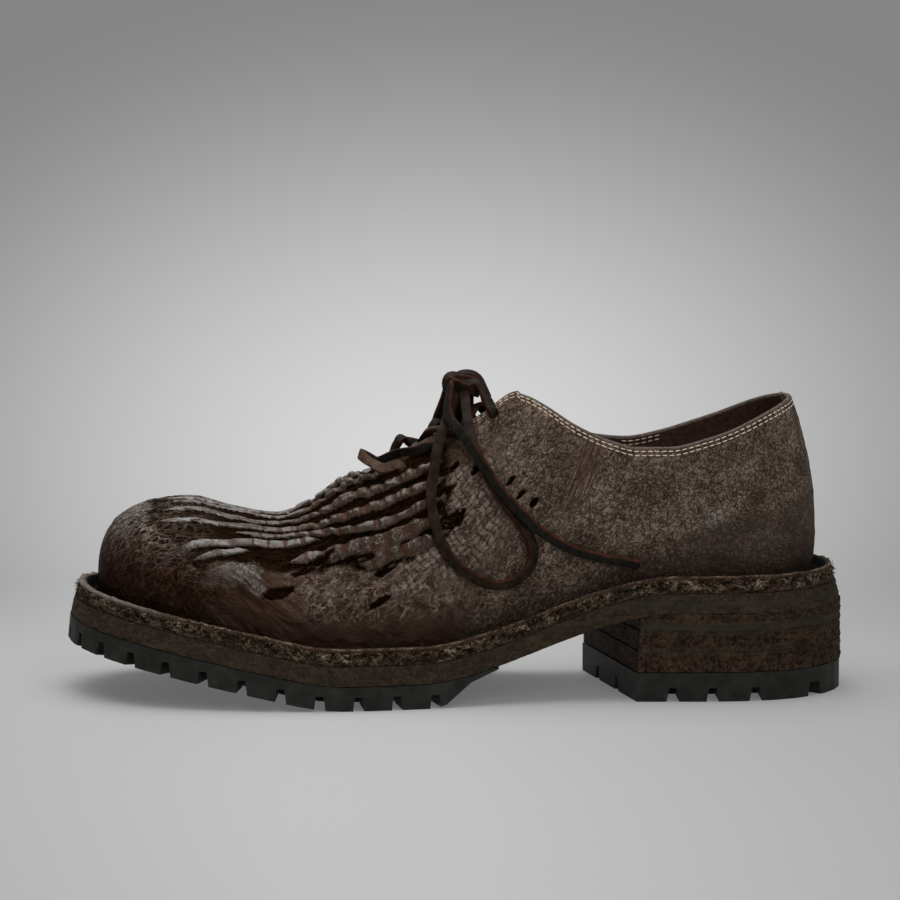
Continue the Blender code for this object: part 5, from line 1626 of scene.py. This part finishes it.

# %% [markdown]
# ## Finish of the sole
# Cut leather shows its fibre: brown felt with curls and holes where it has frayed, painted dark as the
# shade in them, level lines where the layers were pressed, and smooth grey where wax fills a joint. The rim
# is worn pale at the toe.
# Masks on each band say which of these it is, so one material serves the welt, midsole and heel.

# %% Finish of the sole


def sole_leather():
    """Cut sole leather: felted brown with curls and with holes painted dark as shade, and grey where wax
    fills the joints.
    """
    material, node, finish = material_named("felted sole leather")
    flat = node("flat")
    curl = node("most", curls(node, flat, 3.2, 0.05, 3.0), curls(node, flat, 2.4, 0.05, 9.0))
    blot = node("noise", flat, 1 / 7.0, 4.0, 0.55)
    holes = node("range", node("noise", flat, 1 / 1.9, 3.0, 0.6, 0.5), 0.47, 0.40)
    lines = node("noise", node("stretch", flat, (0.03, 1.0, 1.0)), 1 / 1.3, 3.0, 0.55)
    names = "frayed", "rim", "pale", "waxed", "channel"
    frayed, rim, pale, waxed, channel = (node("mask", attribute_name=name) for name in names)
    rough = node("minus", 1.0, node("most", waxed, node("times", rim, 0.7)))
    tone = node("mix", node("range", blot, 0.35, 0.65), colour("#33251c"), colour("#503d30"))
    # The frayed holes are painted near black as the shade inside them.
    shaded_holes = node("times", holes, node("range", frayed, 0.0, 1.0, 0.6, 1.0))
    for mask, code in (
        (node("range", lines, 0.55, 0.7, 0.0, 0.5), "#4a3022"),
        (node("range", lines, 0.46, 0.30, 0.0, 0.7), "#120b07"),
        (node("times", curl, node("range", frayed, 0.0, 1.0, 0.25, 0.6)), "#7a6652"),
        (node("times", curl, node("times", frayed, node("range", blot, 0.38, 0.58))), "#c2b29d"),
        (node("times", shaded_holes, rough), "#0b0704"),
        (node("times", waxed, 0.8), "#38362e"),
        (node("times", rim, pale), "#7d746c"),
        # painted shade: the channel behind the welt's rim is coloured near black
        (channel, "#0b0704"),
    ):
        tone = node("mix", mask, tone, colour(code))
    heights = node("minus", node("times", curl, 0.5), holes)
    heights = node("plus", node("times", heights, rough), node("times", lines, 0.5))
    felted = node("bump", heights, BUMP_HEIGHT, 1.0)
    finish({"Base Color": tone, "Normal": felted, "Roughness": 0.7, "Specular IOR Level": 0.1})
    return material


SOLE_LEATHER = sole_leather()
print("made", SOLE_LEATHER.name)

# %% [markdown]
# ## The welt
# The welt runs once round the shoe as a closed section: a frayed outside, a rim and a channel behind it,
# painted near black as shade. Noise pushes the outside in and out before the mesh is made, so that its
# outline is ragged too.
# A displace modifier could do that, but the masks of the finish have to follow the same noise.

# %% Welt
WELT_ROWS_OUTSIDE = 14
WELT_CLEARANCE, WELT_BULGE_SHARE = 0.6, 0.42
FRAY_HEIGHT, FRAY_HOLE = 0.45, 1.7
PALE_TOE = Fade(-105, -135)


def welt_section(x, run):
    """Rows of the welt's closed section, how far out and how high each lies, and its three masks."""
    upper_edge, lower_edge = (edge_out(x, edge) for edge in WELT_EDGE)
    inner = WELT_CLEARANCE + WELT_BULGE_SHARE * table(SECTIONS, "bulge", x)
    rim = upper_edge - np.minimum(WELT_RIM, 0.55 * (upper_edge - inner))
    rows, masks = [], []
    for share in np.linspace(0, 1, WELT_ROWS_OUTSIDE):
        height = (WELT_RIM_HEIGHT - 0.5) * share
        out = lower_edge + (upper_edge - lower_edge) * share
        band = step(0.0, 0.25, share) * step(0.9, 0.78, share)
        torn = hills(run / 2.6, height / 1.9, 61) + 0.4 * hills(run / 1.1, height / 0.9, 62)
        holes = step(0.05, 0.5, torn)
        out = out + band * (FRAY_HEIGHT * hills(run / 1.4, height / 1.1, 63) - FRAY_HOLE * holes)
        rows.append((out, np.full_like(out, height)))
        frayed = band * (1 - holes) * (0.55 + 0.45 * step(0.35, 0.7, share))
        masks.append((frayed, np.full_like(out, step(0.88, 0.95, share)), np.zeros_like(out)))
    uneven = 0.35 * hills(run / 2.2, 0.0, 64) + 0.2 * hills(run / 0.9, 0.0, 65)
    # The rows behind the rim are marked as the channel, which is painted near black as shade.
    for out, height, is_rim, painted_channel_shade in (
        (upper_edge - 0.35 + uneven, WELT_RIM_HEIGHT - 0.1 + uneven, 1.0, 0.0),
        (upper_edge - 0.9, WELT_RIM_HEIGHT + uneven, 1.0, 0.0),
        ((upper_edge + rim) / 2, WELT_RIM_HEIGHT + uneven, 1.0, 0.1),
        (rim + 0.7, WELT_RIM_HEIGHT, 0.6, 0.5),
        (rim + 0.15, WELT_RIM_HEIGHT - 0.2, 0.0, 0.9),
        (rim - 0.2, WELT_RIM_HEIGHT - 1.0, 0.0, 1.0),
        (rim - 0.6, WELT_FLANGE + 0.5, 0.0, 1.0),
        (rim - 1.0, WELT_FLANGE, 0.0, 1.0),
        (inner, WELT_FLANGE, 0.0, 1.0),
        (inner, SEAT_GAP, 0.0, 1.0),
    ):
        rows.append((out, np.zeros_like(out) + height))
        masks.append([np.full_like(out, mask) for mask in (0.4 * is_rim, is_rim, painted_channel_shade)])
    return rows, masks


def welt_ring():
    """Points round the shoe, each a closed section of the welt with its outside frayed."""
    lateral, medial = (edge_stations(side) for side in SIDES)
    feet = np.vstack([lateral[0], medial[0][-2:0:-1]])
    outs = np.vstack([lateral[1], medial[1][-2:0:-1]])
    run = run_along(feet)
    rows, masks = welt_section(feet[:, 0], run)
    grid = []
    for out, height in rows:
        plan = feet + outs * out[:, None]
        grid.append(np.column_stack([plan, seat(plan[:, 0]) + height]))
    grid = np.swapaxes(np.array(grid), 0, 1)
    marks = np.array(masks).transpose(2, 0, 1).reshape(-1, 3)
    count, columns = grid.shape[:2]
    here = np.arange(columns)
    beside = (here + 1) % columns
    last = (count - 1) * columns
    closing = np.column_stack([last + here, last + beside, beside, here])
    faces = np.vstack([grid_faces(count, columns, wrap=True), closing])
    section = np.r_[0, np.cumsum(np.linalg.norm(np.diff(grid, axis=1), axis=2).mean(axis=0))]
    flat = np.stack(np.broadcast_arrays(run[:, None], section[None, :], 0.0), axis=-1).reshape(-1, 3)
    return grid.reshape(-1, 3), faces, marks, flat


points, faces, marks, flat = welt_ring()
pale = step(*PALE_TOE, points[:, 0])
welt = piece("welt_frayed", points, faces, SOLE_LEATHER, "sole_leather", frayed=marks[:, 0],
             rim=marks[:, 1], pale=pale, waxed=np.zeros(len(points)), channel=marks[:, 2], flat=flat)
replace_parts(welt, "welt")

# %% [markdown]
# ## Midsole and heel
# The midsole and the three heel lifts are flat layers glued on each other. Each is a band round its outline
# with plain faces above and below. The cut side is rough, and rougher at the back, where it was scuffed.
# The solids could have kept their smooth sides, but a rough cut edge can't come from a bump alone.

# %% Midsole and stacked heel
Joint = namedtuple("Joint", "z half share")
WAXED_JOINTS = Joint(29.4, 2.0, 1.0), Joint(20.0, 1.3, 0.6), Joint(38.5, 2.5, 0.8)
WAXED_BACK, WAXED_MIDSOLE, SCUFFED_BACK = Fade(40, 70), 0.5, Fade(118, 138)
ROUGH_FINE, ROUGH_COARSE, ROUGH_SCUFFED, EDGE_PIT, EDGE_ROUND = 0.16, 0.18, 0.5, 0.5, 0.12
BREAST_POINTS = 30


def layer_rings(starts, edges):
    """Upper and lower outline of a layer, the ways out and how many points each half has. A layer that
    starts at the breast of the heel is closed there by a straight bridge."""
    halves = [edge_stations(side, start) for side, start in zip(SIDES, starts)]
    count = min(len(half[0]) for half in halves)
    picked = []
    for feet, outs in halves:
        chosen = np.linspace(0, len(feet) - 1, count).round().astype(int)
        picked.append((feet[chosen], outs[chosen]))
    feet = np.vstack([picked[0][0], picked[1][0][::-1]])
    outs = np.vstack([picked[0][1], picked[1][1][::-1]])
    upper_edge, lower_edge = (standing_out(feet, outs, edge) for edge in edges)
    if starts[0] is not None:
        spread_out = np.linspace(0, 1, BREAST_POINTS)[1:-1, None]
        bridge = [e[-1] + (e[0] - e[-1]) * spread_out for e in (upper_edge, lower_edge)]
        upper_edge, lower_edge = (np.vstack([e, b]) for e, b in zip((upper_edge, lower_edge), bridge))
        breast = unit((upper_edge[0] - upper_edge[2 * count - 1])[::-1])
        outs = np.vstack([outs, np.tile(-np.abs(breast) * (1, 0), (len(spread_out), 1))])
    return upper_edge, lower_edge, outs, count


def layer(name, starts, edges, top, bottom, rows, seed, replaced):
    """A sole layer with a roughened cut side, and plain faces above and below."""
    upper_edge, lower_edge, outs, count = layer_rings(starts, edges)
    run = run_along(upper_edge)
    grid = []
    for share in np.linspace(0, 1, rows):
        plan = upper_edge + (lower_edge - upper_edge) * share
        z = top(plan[:, 0]) * (1 - share) + bottom(plan[:, 0]) * share
        edge_round = EDGE_ROUND * (step(0.06, 0.0, share) + step(0.94, 1.0, share))
        rough = ROUGH_FINE * hills(run / 1.6, z / 1.1, seed)
        rough = rough + ROUGH_COARSE * hills(run / 5.0, z / 1.6, seed + 1)
        scuffed = ROUGH_SCUFFED * step(*SCUFFED_BACK, plan[:, 0])
        rough = rough + scuffed * hills(run / 1.3, z / 0.9, seed + 3)
        pits = step(0.55, 0.8, hills(run / 1.8, z / 1.2, seed + 2)) * EDGE_PIT
        plan = plan + outs * (rough - pits - edge_round)[:, None]
        grid.append(np.column_stack([plan, z]))
    grid = np.array(grid)
    ring = grid.shape[1]
    faces = grid_faces(rows, ring, wrap=True).tolist()
    for first, flip in ((0, 1), ((rows - 1) * ring, -1)):
        for i in range(count - 1):
            other = 2 * count - 1 - i
            faces.append([first + j for j in (i, i + 1, other - 1, other)][::flip])
    places = grid.reshape(-1, 3)
    flat = np.column_stack([np.tile(run, rows), places[:, 2], np.zeros(len(places))])
    joints = sum(j.share * np.exp(-(((places[:, 2] - j.z) / j.half) ** 2)) for j in WAXED_JOINTS)
    least = WAXED_MIDSOLE if starts[0] is None else 0.0
    smoothed = np.maximum(joints * step(*WAXED_BACK, places[:, 0]), least)
    zeros = np.zeros(len(places))
    made = piece(name, places, faces, SOLE_LEATHER, "sole_leather", frayed=zeros, rim=zeros, pale=zeros,
                 channel=zeros, waxed=np.minimum(smoothed, 1.0), flat=flat)
    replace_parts(made, replaced)


def flat_face(height):
    """A flat face at one height, in the form that a layer asks for."""
    return lambda x: np.full_like(x, height)


layer("midsole_edge", (None, None), MIDSOLE_EDGE, seat, midsole_bottom, 16, 71, "midsole")
ceilings = [flat_face(lift.base) for lift in LIFTS[1:]] + [midsole_bottom]
for number, (lift, ceiling) in enumerate(zip(LIFTS, ceilings)):
    starts = BREAST_LATERAL + lift.setback, BREAST_MEDIAL + lift.setback
    layer(lift.name + "_leather", starts, (lift.edge, lift.edge), ceiling, flat_face(lift.base),
          14, 81 + 5 * number, lift.name)

# %% [markdown]
# ## Loose fibres
# Some fibres of the frayed welt stand off it. Each is a short curled ribbon, and all are joined in one
# mesh. A hair system would give more of them, but a ribbon of five steps is enough at this size and
# exports as it is.

# %% Loose fibres along the frayed edges
FIBRE_WIDTH, FIBRE_LENGTH, FIBRE_STEPS, FIBRES_EACH_SIDE = 0.3, 1.8, 5, 2200


def loose_fibres(roots, outs, seed):
    """Short curled ribbons that stand off a frayed edge, as points, faces and a tone for each point."""
    random = np.random.default_rng(seed)
    count = len(roots)
    size = FIBRE_LENGTH * random.uniform(0.4, 1.2, count)[:, None, None]
    way = unit(outs * 0.8 + random.normal(0, 0.7, (count, 3)))
    bend = unit(np.cross(way, random.normal(0, 1, (count, 3))))
    turn = random.uniform(0.8, 3.4, count)[:, None, None]
    share = np.linspace(0, 1, FIBRE_STEPS)[None, :, None]
    bent = np.sin(turn * share) * way[:, None] + (1 - np.cos(turn * share)) * bend[:, None]
    path = roots[:, None] + size / turn * bent
    wide = np.cross(way, bend)[:, None] * FIBRE_WIDTH / 2 * (1 - 0.6 * share)
    points = np.stack([path - wide, path + wide], axis=2).reshape(-1, 3)
    faces = copies(grid_faces(FIBRE_STEPS, 2), count)
    return points, faces, np.repeat(random.random(count), FIBRE_STEPS * 2)


def fibre_finish():
    """Raw hide fibre, from dark brown to a dusty beige."""
    material, node, finish = material_named("loose hide fibre")
    tone = node("mix", node("mask", attribute_name="tone"), colour("#1e150e"), colour("#7c6b58"))
    finish({"Base Color": tone, "Roughness": 0.9, "Specular IOR Level": 0.05})
    return material


picker = np.random.default_rng(7)
roots, outs = [], []
for side in SIDES:
    feet, ways = edge_stations(side)
    chosen = picker.integers(0, len(feet), FIBRES_EACH_SIDE)
    height = picker.uniform(0.8, 5.4, FIBRES_EACH_SIDE)
    thick = picker.random(FIBRES_EACH_SIDE) < 0.55 + 0.5 * hills(chosen / 22.0, side, 91)
    plan = standing_out(feet[chosen], ways[chosen], WELT_EDGE[1]) - ways[chosen] * 0.5
    root = np.column_stack([plan, seat(plan[:, 0]) + height])
    roots.append(root[thick])
    outs.append(np.insert(ways[chosen], 2, 0.0, axis=1)[thick])
points, faces, tone = loose_fibres(np.vstack(roots), np.vstack(outs), 8)
piece("welt_loose_fibres", points, faces, fibre_finish(), "sole_leather", tone=tone)

# %% [markdown]
# ## Rubber, tongue and insole
# The lugged rubber is moulded, so its solids are kept and a bevel modifier eases their corners. Drawing
# them again would gain nothing. The tongue, the insole and the back tab show only in part, so they keep
# their solids too, and each gets a plain leather.

# %% Rubber and inner pieces
TRIM_LINES, DUST, EASED_CORNER = 0.0008, 0.006, 0.4


def rubber():
    """Moulded lug rubber: dark green-grey, dull, with faint level lines from the trimming wheel."""
    material, node, finish = material_named("lug rubber")
    lines = node("noise", node("stretch", node("place"), (0.04, 0.04, 1.0)), 1 / TRIM_LINES, 3.0)
    dust = node("noise", node("place"), 1 / DUST, 6.0)
    tone = node("mix", node("range", dust, 0.35, 0.7), colour("#1d1e1a"), colour("#31332c"))
    trimmed = node("bump", lines, 0.0003, 0.35)
    finish({"Base Color": tone, "Normal": trimmed, "Roughness": 0.6, "Specular IOR Level": 0.25})
    return material


RUBBER_MATERIAL = rubber()
INSOLE_LEATHER = plain_leather("insole leather", "#2b1c14", "#46301f", 3.0, 0.6)
TONGUE_LEATHER = plain_leather("tongue leather", "#3b2d25", "#7a6b60", 2.5, 0.6, 0.6)
for node, material in (
    ("outsole_forefoot", RUBBER_MATERIAL),
    ("heel_top_piece", RUBBER_MATERIAL),
    ("tongue", TONGUE_LEATHER),
    ("back_tab", LINING),
    ("insole", INSOLE_LEATHER),
):
    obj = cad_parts[node]
    obj.data.materials.clear()
    obj.data.materials.append(material)
    if material is RUBBER_MATERIAL:
        eased = obj.modifiers.new("eased corners", "BEVEL")
        eased.width, eased.segments, eased.limit_method = EASED_CORNER * MM, 2, "ANGLE"
    print(node, "wears", material.name)

# %% [markdown]
# ## Sizes
# At the end the box of the dressed shoe is printed.

# %% Write the sizes and finish
low, high = (Vector(corner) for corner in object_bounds())
print("visual box in mm:", [round(s / MM, 1) for s in high - low])
